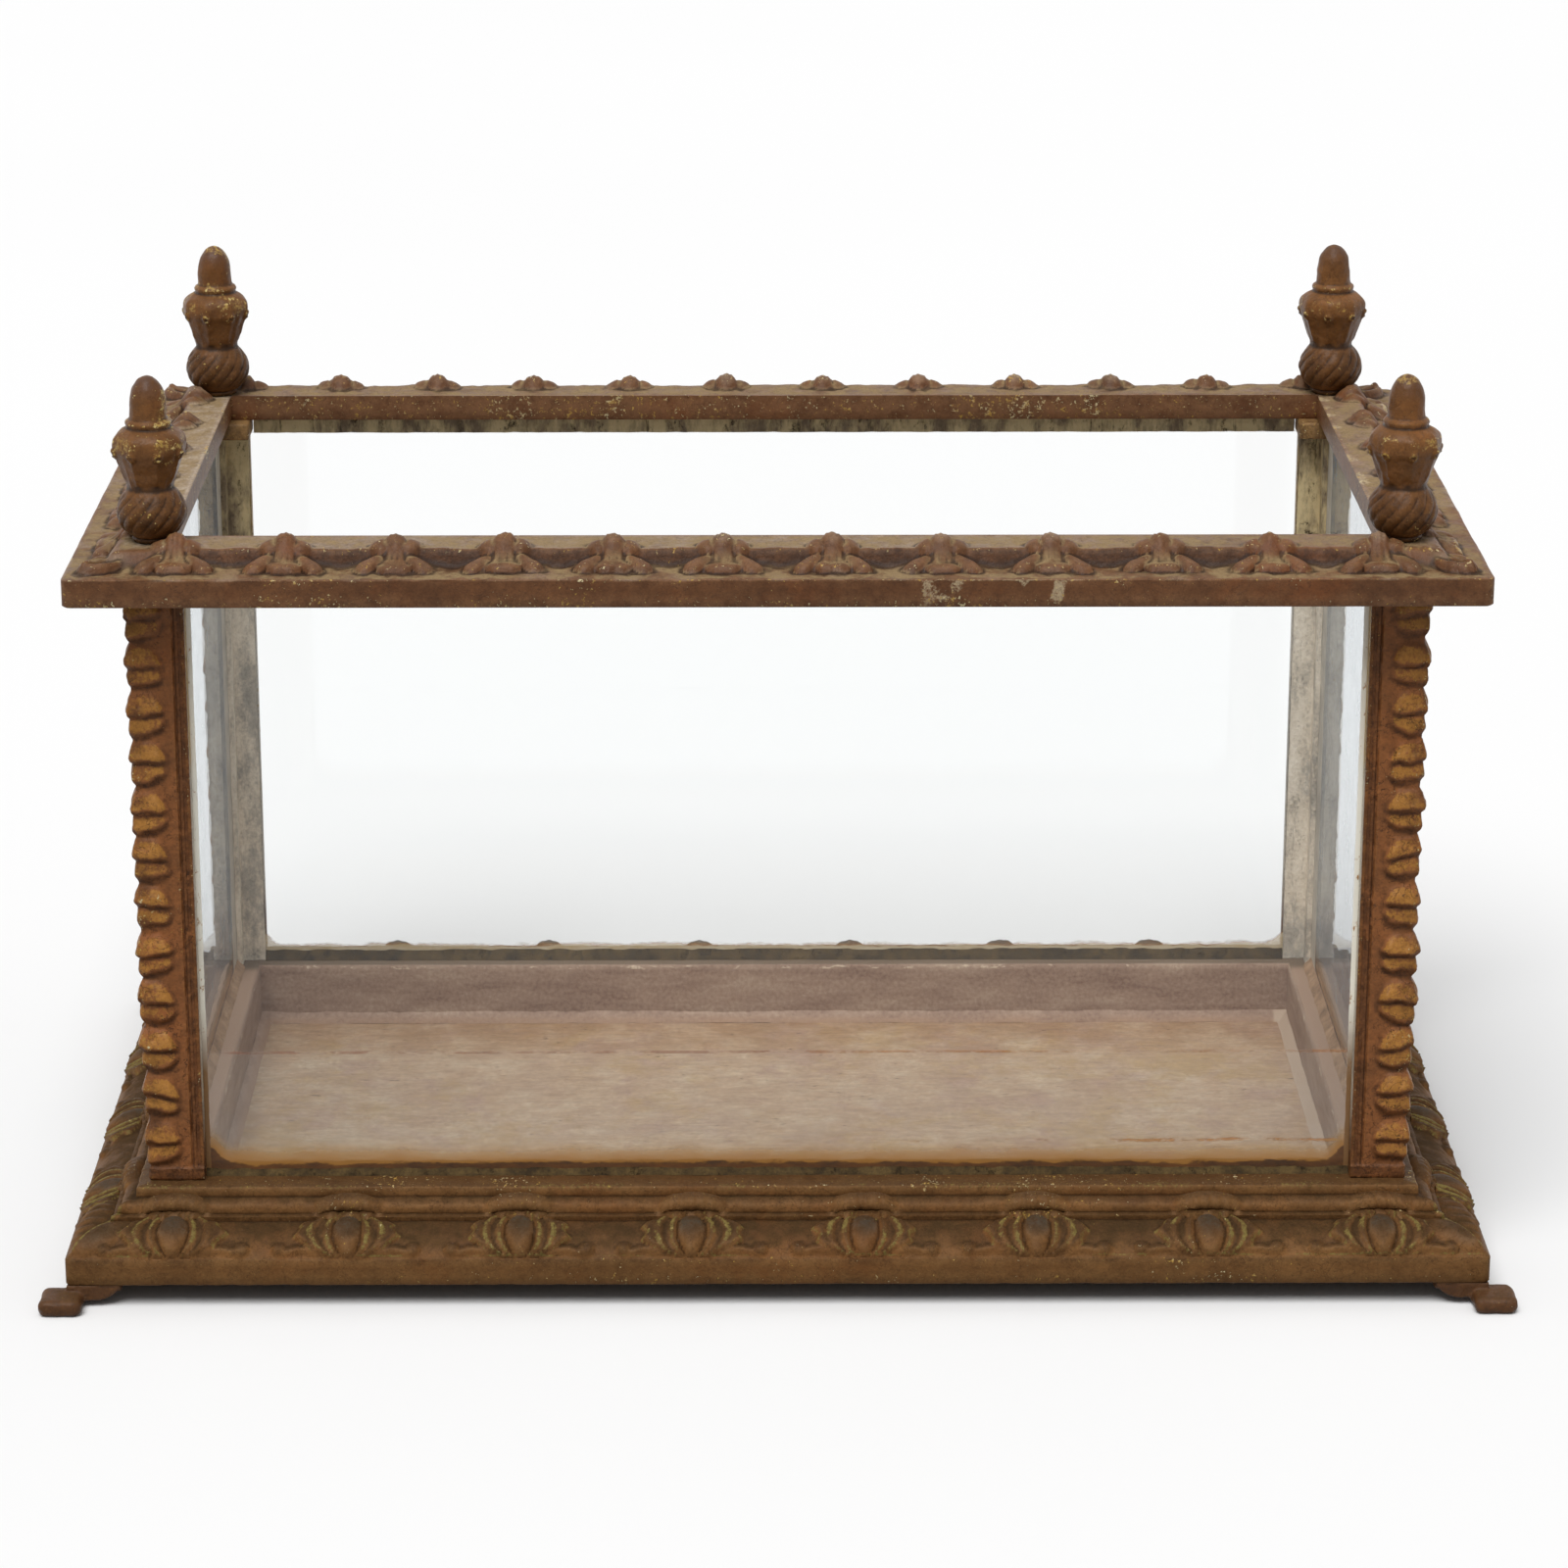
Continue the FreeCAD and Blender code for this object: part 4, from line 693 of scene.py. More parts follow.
# Top rim: a field of heights over the plan, and a plain underside
def rim_height(x, y):
    """The height of the rim's upper side at a point of the plan, and its three fields."""
    inset_x, inset_y = RIM[0] - np.abs(x), RIM[1] - np.abs(y)
    ends = inset_x < inset_y
    a = np.where(ends, inset_x, inset_y)
    c = np.where(ends, y, x)
    other = np.where(ends, inset_y, inset_x)
    spot = spread(x, y, 0)
    c = c + 0.5 * lumps(spot, 12, 31)
    dx_long, which_long = nearest(c, LEAVES_LONG)
    dx_short, which_short = nearest(c, LEAVES_SHORT)
    dx = np.where(ends, dx_short, dx_long)
    which = np.where(ends, which_short + 40 + 20 * (x > 0), which_long + 80 * (y > 0))
    vary = lattice(which, 0, 1, 2)
    ax = np.abs(dx)
    # The deck, and the slope up to the band
    corner = step(50, 40, other)
    mound = highest(2.4 * step(24, 8, ax) * step(9, 20.5, a), corner * 3.6 * step(10, 26, a))
    foot = 20.4 - 1.4 * step(14, 24, ax)
    slope = step(foot - 0.6 - 4 * corner, 22.9 - corner, a)
    ground = DECK + mound + (BAND - DECK - mound) * slope - 0.4 * step(1, 0, a)
    # A leaf: a tongue over the slope, two ears behind it and two petals beside it
    width = 5.4 + 2.7 * step(18, 12.4, a) + 0.6 * step(21, 25.5, a)
    width = width * np.where(a < 13.6, dome(np.clip((13.6 - a) / 4.6, 0, 1)) ** 0.6, 1)
    width = width * np.where(a > 29, dome(np.clip((a - 29) / 5.4, 0, 1)) ** 0.7, 1)
    crest = np.interp(a, [9, 9.8, 12, 14.5, 17, 19.5, 21.5, 23.5, 26, 28.5, 31, 33, 34.5],
                      [2.2, 3.4, 3.7, 4, 5.2, 7.4, 10, 12.3, 13.6, 13.3, 11.4, 9.4, 7.7])
    ribs = 0.26 * np.cos(ax * 2.2) * band(a, 13, 18, 28, 33) * step(5, 3, ax)
    round_top = 0.34 + 0.20 * step(16, 22, a)
    tongue = DECK + (crest + 0.5 * vary + ribs) * dome(ax / np.maximum(width, 0.3)) ** round_top
    tongue = np.where((a > 9) & (a < 34.4) & (ax < width), tongue, NOWHERE)
    ears = np.hypot((ax - 6.2) / 5.2, (a - 26) / 6)
    ears = np.where(ears < 1, BAND + 3.6 * np.clip(1 - ears, 0, 1) ** 0.5 - 0.2, NOWHERE)
    turn = math.radians(46)
    u = (ax - 3.4) * math.sin(turn) + (21.6 - a) * math.cos(turn)
    v = (ax - 3.4) * math.cos(turn) - (21.6 - a) * math.sin(turn) - 0.4
    shape = np.clip(np.abs((u - 8.6) / 8.6) ** 2.6 + np.abs(v / (3.3 + 0.09 * u)) ** 2.2, 0, 1)
    rise = np.interp(u, [0, 4, 9, 13.5, 16.5], [7.2, 6.2, 4.9, 3.9, 3.1]) + 0.3 * vary
    petal = np.where(shape < 1, DECK + rise * (1 - shape) ** 0.34, NOWHERE)
    # The dished lobe at each corner
    along, across = (inset_x + inset_y) / 2 - 17, (inset_x - inset_y) / 1.41 + 1
    oval = np.hypot(along * 1.41 / 12.6, across / 7.6)
    lobe = DECK + 5.2 * np.clip(1 - oval ** 4, 0, 1) ** 0.4 - 2 * step(0.84, 0.35, oval)
    lobe = lobe + 1.4 * step(1.5, 0.5, np.abs(across)) * step(1, 0.8, oval)
    lobe = np.where((oval < 1) & (other < 45), lobe, NOWHERE)
    z = ground
    for form, blend in ((petal, 0.35), (ears, 0.9), (tongue, 0.35), (lobe, 0.5)):
        z = soft_max(z, form, blend)
    stands = step(0.3, 1.6, z - ground)
    bare = 1 - stands
    rough = lumps(spot, 3.2, 11) * 0.30 + lumps(spot, 8, 13) * 0.22 + lumps(spot, 22, 12) * 0.30
    z = z + rough * step(0, 2.5, a) * step(0, 3, highest(np.abs(x) - MOUTH[0], np.abs(y) - MOUTH[1]))
    from_stud = np.hypot(np.abs(x) - STUD[0], np.abs(y) - STUD[1])
    z = np.minimum(z, BAND + np.interp(from_stud, [8.8, 10, 12, 14, 15.6, 17], [-0.1, 0.4, 2, 4.4, 7.2, 12]))
    # Dark on the slope up to the band between ornaments: painted shade on the band's front face.
    grime = 0.75 * band(a, 19.2, 20.4, 22.4, 23.4) * bare * step(6, 13, ax) * (1 - corner)
    on_sides = band(inset_x, 22.5, 24.5, 41, 43.5) * step(22, 30, inset_y) * bare
    on_front = band(inset_y, 23, 25, 43, 44.8) * step(36, 44, inset_x) * bare
    patina = highest(on_sides * np.where(x > 0, 0.4, 1),
                     np.where(y < 0, 0.55 - 0.35 * step(60, 200, x), 0.2) * on_front,
                     0.36 * step(0, 0.7, lumps(spot, 13, 18)) * bare * step(21, 18, a),
                     0.35 * step(340, 343.5, z) * step(4, 2, ax) * step(-0.5, 0.5, lumps(spot, 30, 17)))
    on_lip = 0.22 * step(0.9, 0.2, a) * (1 + 1.2 * band(x, 20, 50, 120, 160) * (y < 0))
    flaked = highest(step(6, 1, np.abs(inset_x - 39.5)), step(17, 9, inset_x) * stands) * (x > 0)
    gild = 0.26 * step(12.5, 10.5, a) * stands + 0.34 * step(341.5, 344.5, z) + on_lip
    gild = gild + 0.4 * step(1.6, 0.4, np.abs(inset_x - 41.5)) * step(-0.2, 0.5, lumps(spot, 9, 14))
    return z, grime, patina, gild + 0.6 * flaked * step(0, 0.6, lumps(spot, 8, 24)) * step(20, 40, inset_y)


insets = np.concatenate([[0, 0.5, 1.2], 2.2 + 1.05 * np.arange(41)])
# Past an inset of 23 the rows spread so that the last one meets the mouth along X and along Y
beyond = np.maximum(insets - 23, 0) / (insets[-1] - 23)
top_profile = [(a + 19 * b, a + 22 * b, TO_LIFT) for a, b in zip(np.minimum(insets, 23), beyond)]
edge = [(5, 5, RIM_UNDER), (5, 5, 319), (4.2, 4.2, 318.2), (0.8, 0.8, 318), (0, 0, 318.8),
        (0, 0, 322), (0, 0, 325.5), (0, 0, 329.4)]
under = [(42, 45, 336.9), (42, 45, 332), (42, 45, 327), (41.3, 44.3, RIM_UNDER), (23, 23, RIM_UNDER)]
rim_profile = edge + top_profile + under
on_top = np.array([p[2] == TO_LIFT for p in rim_profile])


def rim_shape(side, c, from_mitre, near, far, z):
    """Lifts the points of the upper side to the field of heights."""
    x, y = around(side, c, RIM[1 - side % 2] - far + 0 * c)
    spot = spread(x, y, z)
    wave = 0.5 * lumps(spread(x, y, 0), 45, 15) + 0.12 * lumps(spot, 7, 16)
    height, *marks = rim_height(x, y)
    on_edge = far < 0.1
    inward = np.where(on_edge, np.abs(wave) * step(0, 20, from_mitre), 0) + rounding(3.4, from_mitre, far)
    grime, patina, gild = (np.where(on_top, mark, 0) for mark in marks)
    scratched = band(x, 36, 60, 120, 150) * step(0, 0.6, lumps(spot, 7, 19))
    gild = highest(gild, 0.75 * scratched * on_edge * (side == 0))
    return inward, np.where(on_top, height - z, 0), grime, patina, gild


points, faces, fields = ring(RIM, 60, 1.12, rim_profile, rim_shape)
made("rim_casting", points, faces, rim_paint, ["top_rim"], fields=fields, depth=0.55)


# Corner posts: an L-shaped section, swept upwards, with overlapping leaves down the corner
INNER, FACE_X, OVER_CORNER_X, CORNER, OVER_CORNER_Y, FACE_Y = 0, 1, 3, 4, 5, 2
BEVEL_X, BEVEL_Y = 6, 7


def post_section():
    """Points round the L from its inner corner, as (inset along X, inset along Y, way along, face). The
    way along is the distance from the corner on the two outer faces, and the face says which moves."""
    inner = [(25, 8, 30, INNER), (25, 5.4, 30, INNER), (25, 2.9, 30, INNER)]
    bevel = [(24.8, 1.3, 24, BEVEL_X), (23.5, 1.3, 23, BEVEL_X), (23.1, 1.8, 23, BEVEL_X),
             (22, 1.8, 22, BEVEL_X), (21.7, 1.4, 21, BEVEL_X), (20.7, 1.4, 21, BEVEL_X),
             (20.3, 2, 20, BEVEL_X), (19.8, 2, 19, BEVEL_X)]
    face = [(p, 1, p - 1, FACE_X) for p in (*np.arange(19.2, 16, -1.1), *np.arange(15.6, 2.2, -0.72))]
    corner = [(1.9, 1.12, 0.9, OVER_CORNER_X), (1.35, 1.35, 0.4, CORNER), (1.12, 1.9, 0.9, OVER_CORNER_Y)]
    half = inner + bevel + face
    swapped = {INNER: INNER, BEVEL_X: BEVEL_Y, FACE_X: FACE_Y}
    back = [(8, 16, 40, INNER), (8, 8, 40, INNER), (16, 8, 40, INNER)]
    return half + corner + [(q, p, s, swapped[kind]) for p, q, s, kind in reversed(half)] + back


def rounded_box(x, y, z, radius):
    """A box with bevelled edges, as points and faces."""
    bm = bmesh.new()
    bmesh.ops.create_cube(bm, size=1.0)
    for v in bm.verts:
        v.co = [low + (at + 0.5) * (high - low) for at, (low, high) in zip(v.co, (x, y, z))]
    bmesh.ops.bevel(bm, geom=bm.edges[:], offset=radius, segments=3, profile=0.5, affect="EDGES")
    bm.verts.ensure_lookup_table()
    points = np.array([v.co[:] for v in bm.verts])
    faces = [[v.index for v in f.verts] for f in bm.faces]
    bm.free()
    return points, faces


def post_piece(name, sx, sy):
    """One post, drawn for the back right corner and mirrored to its own."""
    p, q, s, kind = (np.array(column) for column in zip(*post_section()))
    z = np.concatenate([[LEDGE, 46.1, 47, 49, 50.4, 51.1, 51.6, 52.4], np.arange(53.2, 325.6, 0.8),
                        [RIM_UNDER]])[:, None]
    repeat = (LUG_UNDER - 51.5) / 12
    seed = 2 * sx + sy + 7
    spot = spread(s + 60 * (kind % 2), z, 9 * sx + 5 * sy)
    outer, bevelled = kind > 0, kind >= BEVEL_X
    # Leaves hang in pairs: w is the way down from a leaf's root, and tip makes its end ragged
    place = (LUG_UNDER - z) / repeat + 0.035 * lumps(spot, 13, seed + 3)
    number = np.floor(place).astype(np.int64)
    w = (place - number) * repeat + 0.16 * lattice(number, 3, seed, 4) * (s - 8)
    tip = w + 1.3 * lumps(spot, 5, seed + 5) - 0.05 * s
    reach = 10.4 + 0.44 * np.clip(w, 0, 9) + 0.6 * lattice(number, 0, seed, 8)
    leaf_a = (0.3 + 2.7 * np.sin(np.clip(w / 8.8, 0, 1) * 1.57) ** 1.3) * step(reach + 0.8, reach - 3, s)
    leaf_a = leaf_a * step(12.6, 8.4, tip) * step(-0.6, 1.5, w)
    leaf_a = leaf_a * (1 - 0.32 * np.exp(-((s - 3) / 1.5) ** 2) * np.exp(-((w - 5) / 2.6) ** 2))
    edge_b = 11.6 + 7 * dome(np.clip((s - 2.5) / 12.4, 0, 1))
    leaf_b = (1 + 0.9 * np.clip((w - 10.5) / 6, 0, 1)) * step(9.4, 12, w)
    leaf_b = leaf_b * step(edge_b + 2.6, edge_b - 1.2, tip) * step(15.4, 12, s)
    on_leaves = (s < 17) * outer * band(z, 51.9, 54, 317, 318.6)
    d = highest(leaf_a, leaf_b) * (1 + 0.20 * lattice(number, seed, 0, 6))
    d = d * on_leaves * np.where((kind == FACE_Y) & (sy > 0), 0.7, 1)
    rough = 0.30 * lumps(spot, 2.6, seed) + 0.42 * lumps(spot, 6, seed + 1) * (s < 16)
    d = d + (rough + 0.12 * lumps(spot, 1.4, seed + 2)) * outer
    # Dark bands below each leaf's lip and darker leaves near the corner: painted shade under the leaves and
    # on their sides turned from the light.
    under_a = band(tip, 8.3, 9.8, 11.2, 12.8) * step(15.5, 13, s)
    under_b = band(tip, edge_b - 0.8, edge_b + 0.8, edge_b + 2.2, edge_b + 4.2) * step(15.5, 12.5, s)
    by_corner = 0.6 * step(8, 2, s) * step(-0.4, 0.6, lumps(spot, 8, seed + 9))
    grime = highest(0.72 * under_a, 0.78 * under_b, by_corner) * on_leaves + 0.62 * (s >= 20) * bevelled
    # The bevelled strip beside the glass, a line along it, the foot block and the lower inner face are
    # darkened as well.
    grime = highest(grime + 0.25 * (np.abs(s - 19.9) < 0.6) * bevelled, 0.8 * step(53, 51, z) * outer,
                    0.85 * step(90, 56, z) * (kind == INNER))
    # Gold on the upper faces of the leaves: gold paint and painted highlight where the leaves face up and
    # out.
    golden_and_highlit = highest(step(0.3, 1.3, leaf_a) * step(-1, 4.5, s + 0.4 * w) * step(9.6, 7.6, tip),
                     step(0.5, 1.6, leaf_b) * step(edge_b + 0.5, edge_b - 2.5, tip) * step(10.4, 12.6, w))
    gild = golden_and_highlit * on_leaves * (0.72 + 0.22 * lumps(spot, 7, seed + 10))
    patina = (kind == INNER) * step(52, 90, z) + 0.9 * (s >= 19) * bevelled * (sy > 0)
    # Where the post meets the ledge it widens to a plain block
    block = step(51.8, 51.2, z) * (1 - 0.5 * step(46.2, LEDGE, z))
    outwards = []
    for at, faces, first, last in ((p, (FACE_Y, BEVEL_Y), OVER_CORNER_X, OVER_CORNER_Y),
                                   (q, (FACE_X, BEVEL_X), OVER_CORNER_Y, OVER_CORNER_X)):
        out = np.isin(kind, faces) + 0.3 * (kind == first) + 0.8 * (kind == CORNER) + 0.95 * (kind == last)
        outwards.append(at - d * out + block * np.where(out > 0, np.minimum(0.15, at) - at, 0) * out)
    grid = spread(POST[0] - outwards[0], POST[1] - outwards[1], z)
    fields = [np.broadcast_to(v, grid.shape[:2]).ravel() for v in (grime, patina, gild)]
    faces = capped_tube(*grid.shape[:2])
    lug, lug_faces = rounded_box((254, 273), (121, 143), (LUG_UNDER, RIM_UNDER), 1)
    faces += [[i + len(fields[0]) for i in f] for f in lug_faces]
    points = np.concatenate([grid.reshape(-1, 3), lug]) * (sx, sy, 1)
    fields = [np.clip(np.append(v, np.full(len(lug), on_lug)), 0, 1)
              for v, on_lug in zip(fields, (0.7, 0.6, 0))]
    return made("post_carved_" + name, points, faces, post_paint, ["post_" + name], rounds=8,
                depth=0.6, fields=fields)


for corner_name, sign_x, sign_y in CORNERS:
    post_piece(corner_name, sign_x, sign_y)


# Feet: fused from arms, web and toe, and softened as worn castings are
def foot_piece(name, sx, sy):
    """One bracket foot, drawn for the back right corner and mirrored to its own."""
    whole = bmesh.new()
    for half, other, spin in ((*BASE, 1), (*BASE[::-1], -1)):
        outline = path([(half - 0.2, BASE_UNDER), (half - 24, BASE_UNDER)],
                       arc((half - 24, BASE_UNDER), (half - 11, 3), 13, 8, -1), [(half - 0.2, 3)])
        ends = [[whole.verts.new((*(at, u)[::spin][::-1], w)) for u, w in outline]
                for at in (other - 5, other - 0.2)]
        whole.faces.new(ends[0])
        whole.faces.new(ends[1][::-1])
        for (a, b), (c, d) in zip(zip(*ends), zip(*(e[1:] + e[:1] for e in ends))):
            whole.faces.new((a, b, d, c))
    blocks = [((291, 312.5), (163.5, 185), (6.5, BASE_UNDER), 0.5),
              ((307.5, 326.5), (180, 199), (0, 7.5), 2.9),
              ((306, BASE[0]), (178.5, BASE[1]), (3, 10.4), 1)]
    for *box, radius in blocks:
        corners, sides = rounded_box(*box, radius)
        verts = [whole.verts.new(p) for p in corners]
        for f in sides:
            whole.faces.new([verts[i] for i in f])
    bmesh.ops.recalc_face_normals(whole, faces=whole.faces)
    bmesh.ops.scale(whole, vec=(sx * MM, sy * MM, MM), verts=whole.verts)
    if sx * sy < 0:
        bmesh.ops.reverse_faces(whole, faces=whole.faces)
    mesh = bpy.data.meshes.new("foot_parts")
    whole.to_mesh(mesh)
    whole.free()
    rough = linked("foot_parts", mesh)
    remesh = rough.modifiers.new("fuse", "REMESH")
    remesh.mode = "VOXEL"
    remesh.voxel_size = 0.00055
    soft = rough.modifiers.new("soften", "SMOOTH")
    soft.iterations = 16
    soft.factor = 0.5
    graph = bpy.context.evaluated_depsgraph_get()
    result = bpy.data.meshes.new_from_object(rough.evaluated_get(graph))
    points = np.empty(len(result.vertices) * 3)
    result.vertices.foreach_get("co", points)
    points = points.reshape(-1, 3) / MM
    faces = [list(f.vertices) for f in result.polygons]
    bpy.data.objects.remove(rough)
    bpy.data.meshes.remove(result)
    between = band(points[:, 2:], 0, 1, 9.5, BASE_UNDER)
    worn = (1.2 * lumps(points, 9, 5) + 0.5 * lumps(points, 2.5, 6))[:, None]
    points = points - np.abs(worn) * np.sign(points) * (0.7, 0.7, 0) * between
    points[:, 2] = np.clip(points[:, 2], 0, BASE_UNDER)
    return made("foot_cast_" + name, points, faces, foot_paint, ["foot_" + name], rounds=6,
                depth=0.4)


for corner_name, sign_x, sign_y in CORNERS:
    foot_piece(corner_name, sign_x, sign_y)


# Finials: a turned form with a twisted ball, a fluted tulip, beads and an acorn
def smooth_line(points, spacing):
    """Points at about a spacing on a smooth line through points."""
    p = np.array(points, float)
    p = np.concatenate([[2 * p[0] - p[1]], p, [2 * p[-1] - p[-2]]])
    out = []
    for a, b, c, d in zip(p, p[1:], p[2:], p[3:]):
        n = max(1, int(round(math.dist(b, c) / spacing)))
        for i in range(n):
            t = i / n
            out.append(0.5 * (2 * b + (c - a) * t + (2 * a - 5 * b + 4 * c - d) * t ** 2
                              + (3 * b - a - 3 * c + d) * t ** 3))
    out.append(p[-2])
    return np.array(out)


FINIAL = [(7.4, 0), (8.6, 0.5), (8.9, 1.4), (8.6, 2.2), (9.8, 3.2), (12.4, 5.4), (14.4, 9), (15.1, 12.6),
          (14.4, 16.8), (12.5, 20.4), (10.8, 22.6), (10, 23.8), (10, 24.6), (10.3, 25.6), (11.2, 28.6),
          (12.6, 33), (14.2, 37.4), (15.3, 40.4), (15.7, 43), (15, 46), (13, 48.2), (10.9, 49.5), (9.8, 50.2),
          (9.6, 50.8), (9.9, 51.6), (10, 52.3), (9.6, 53.1), (8.4, 54), (8, 55.4), (7.9, 58), (7.8, 61),
          (7.5, 63.6), (6.9, 66.2), (5.9, 68.4), (4.4, 70.4), (2.6, 71.8), (0.9, 72.45)]
TURNED_BY = (0.55, -0.2, 0.1, 0.35)
BALL_FLUTES, PETALS, SPOKES = 7, 8, 144


def finial_piece(number, name, sx, sy):
    """One finial on its stud's axis."""
    profile = smooth_line(FINIAL, 0.8)
    r, h = profile[:, :1], profile[:, 1:]
    seed = 1 + number
    angle = np.arange(SPOKES) * 2 * math.pi / SPOKES
    own = angle - TURNED_BY[number]
    on_ball = band(h, 3, 6.5, 20, 23.6)
    wave = np.abs(np.sin(BALL_FLUTES * (own - 0.060 * (h - 12))))
    ridges = on_ball * (0.80 * np.sqrt(wave) - 0.68)
    panel = np.abs((own * PETALS / (2 * math.pi) + 0.5) % 1 - 0.5) * 2
    flutes = band(h, 24.2, 26, 37.5, 40.5) * (0.95 * (1 - panel) ** 2.4 + 0.25 * panel ** 3 - 0.25)
    gap = panel * math.pi * 15.6 / PETALS
    uneven = 1 + 0.3 * lumps(spread(gap, h, own), 1, 3)
    hole = step(1.1, 0.4, np.hypot(gap - 0.3, h - 39.3) / uneven)
    bead = 1.6 * dome(np.hypot(gap, h - 39.6) / 2.4) ** 1.3 - 0.7 * hole
    lobes = band(h, 39.5, 43, 46.5, 50) * (0.9 * (1 - panel) ** 1.5 - 0.45)
    spot = spread(r * np.cos(angle), r * np.sin(angle), h + 90 * seed)
    wear = (0.24 * lumps(spot, 4.5, seed) + 0.16 * lumps(spot, 1.9, seed + 8)) * step(0, 1.5, h)
    radius = np.where(h > 71.6, r, r + ridges + flutes + bead + lobes + wear)
    height = h + band(h, 23.6, 25, 25, 30) * 1.2 * (1 - panel)
    # Dark at the foot, the necks and the holes between beads, and over the whole ball, most in its flutes:
    # dirty paint and painted shade, the ball darkened as the shaded lower part of the finial.
    grime = (0.9 * step(3.4, 1.6, h) + 0.7 * step(1.2, 0.4, np.abs(h - 23.6)) + 0.8 * hole
             + 0.5 * step(0.8, 0.3, np.abs(h - 50.4)) + on_ball * (0.6 + 0.35 * step(0.45, 0.10, wave)))
    patina = 0.7 * step(60, 71, h) + 0 * angle
    # Gold flecks on the beads and shoulder and more over the upper half: gold paint and painted highlight on
    # the upper part.
    gild = highest(0.45 * step(2.6, 1.6, np.hypot(gap, h - 39.5)) * (1 - hole),
                   0.5 * band(h, 40.5, 43, 46.5, 48.5) * step(-0.3, 0.45, lumps(spot, 6, seed + 20)),
                   0.5 * step(0, 0.6, lumps(spot, 9, seed + 21)) * step(22, 44, h))
    axis = np.array([STUD[0] * sx, STUD[1] * sy, BAND])
    grid = axis + spread(radius * np.cos(angle), radius * np.sin(angle), height)
    rows = len(grid)
    points = np.concatenate([grid.reshape(-1, 3), [axis, axis + (0, 0, FINIAL_TALL)]])
    fields = [np.clip(np.append(v, (v[0, 0], v[-1, 0])), 0, 1) for v in (grime, patina, gild)]
    top = (rows - 1) * SPOKES
    faces = tube_faces(rows, SPOKES).tolist()
    for k in range(SPOKES):
        after = (k + 1) % SPOKES
        faces += [[after, k, rows * SPOKES], [top + k, top + after, rows * SPOKES + 1]]
    return made("finial_cast_" + name, points, faces, finial_paint, ["finial_" + name],
                body="finial_" + name, rounds=9, depth=0.4, fields=fields)


for corner_number, corner in enumerate(CORNERS):
    finial_piece(corner_number, *corner)


# Putty: strips of a plain section with a hand-laid, crusty surface
def strip(name, outline, across, length, material, nodes, cell=2.4, rough=0.5):
    """A strip along X or Y from an outline of (position across, height), uneven but no wider."""
    cuts = []
    for a, b in zip(outline, outline[1:] + outline[:1]):
        cuts += line(a, b, max(1, int(round(math.dist(a, b) / 1.6))))[:-1]
    n = int(round(length / cell))
    w = np.linspace(-length / 2, length / 2, n + 1)[:, None]
    a, z = np.array(cuts).T
    spot = spread(w, a, z)
    shrink = rough * np.clip(0.5 + 0.9 * lumps(spot, 6, 21) + 0.5 * lumps(spot, 2.6, 22), 0, 1)
    bottom = z <= z.min() + 0.05
    a2 = a + np.sign(a.mean() - a) * shrink
    z2 = np.where(bottom, z, z + np.sign(z.mean() - z) * shrink * 0.8)
    grid = spread(*((w, a2, z2) if across == "y" else (a2, w, z2)))
    return made(name, grid.reshape(-1, 3), capped_tube(n + 1, len(cuts)), material, nodes, rounds=4,
                depth=0.3)


# The bedding's section, from the inner face of the plinth's ledge outwards
BED = [(-5.5, LEDGE), (5.5, LEDGE), (2.7, 48.5), (2.7, 47), (-1.7, 47), (-1.7, 50.5)]
for side_name, sign, middle, across, length, finish in (
        ("front", -1, 140.5, "y", 511.8, bead_paint), ("back", 1, 140.5, "y", 511.8, bead_paint),
        ("left", -1, 270.5, "x", 251.8, side_bead_paint), ("right", 1, 270.5, "x", 251.8, side_bead_paint)):
    strip("putty_laid_" + side_name, [(sign * (middle + a), z) for a, z in BED], across, length, finish,
          ["putty_bed_" + side_name])


def lumpy_node(name, node, material, cell, rough):
    """A copy of a CAD node's form, cut into cells and drawn in here and there as hand work is."""
    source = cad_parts[node]
    bm = bmesh.new()
    bm.from_mesh(source.data)
    bmesh.ops.remove_doubles(bm, verts=bm.verts, dist=1e-6)
    for _ in range(9):
        long_edges = [e for e in bm.edges if e.calc_length() > cell * 1.5 * MM]
        if not long_edges:
            break
        bmesh.ops.subdivide_edges(bm, edges=long_edges, cuts=1)
        bmesh.ops.triangulate(bm, faces=[f for f in bm.faces if len(f.verts) > 3])
    bm.normal_update()
    points = np.array([v.co[:] for v in bm.verts]) / MM
    normals = np.array([v.normal[:] for v in bm.verts])
    push = rough * np.clip(0.45 + 0.9 * lumps(points, 6, 31) + 0.6 * lumps(points, 2.4, 32), 0, 1)
    bm.verts.ensure_lookup_table()
    faces = [[v.index for v in f.verts] for f in bm.faces]
    bm.free()
    return made(name, points - normals * push[:, None], faces, material, [node], rounds=3, depth=0.3,
                sharp=60)


for corner_name, *_ in CORNERS:
    lumpy_node("putty_strip_" + corner_name, "putty_corner_" + corner_name, putty_paint, 3, 0.35)
for side_name in ("front", "back", "left", "right"):
    lumpy_node("putty_head_" + side_name, "putty_top_" + side_name, putty_paint, 5, 0.4)
lumpy_node("floor_fillet", "floor_putty", tray_material("fillet_paint", 0.2505), 3.5, 0.35)

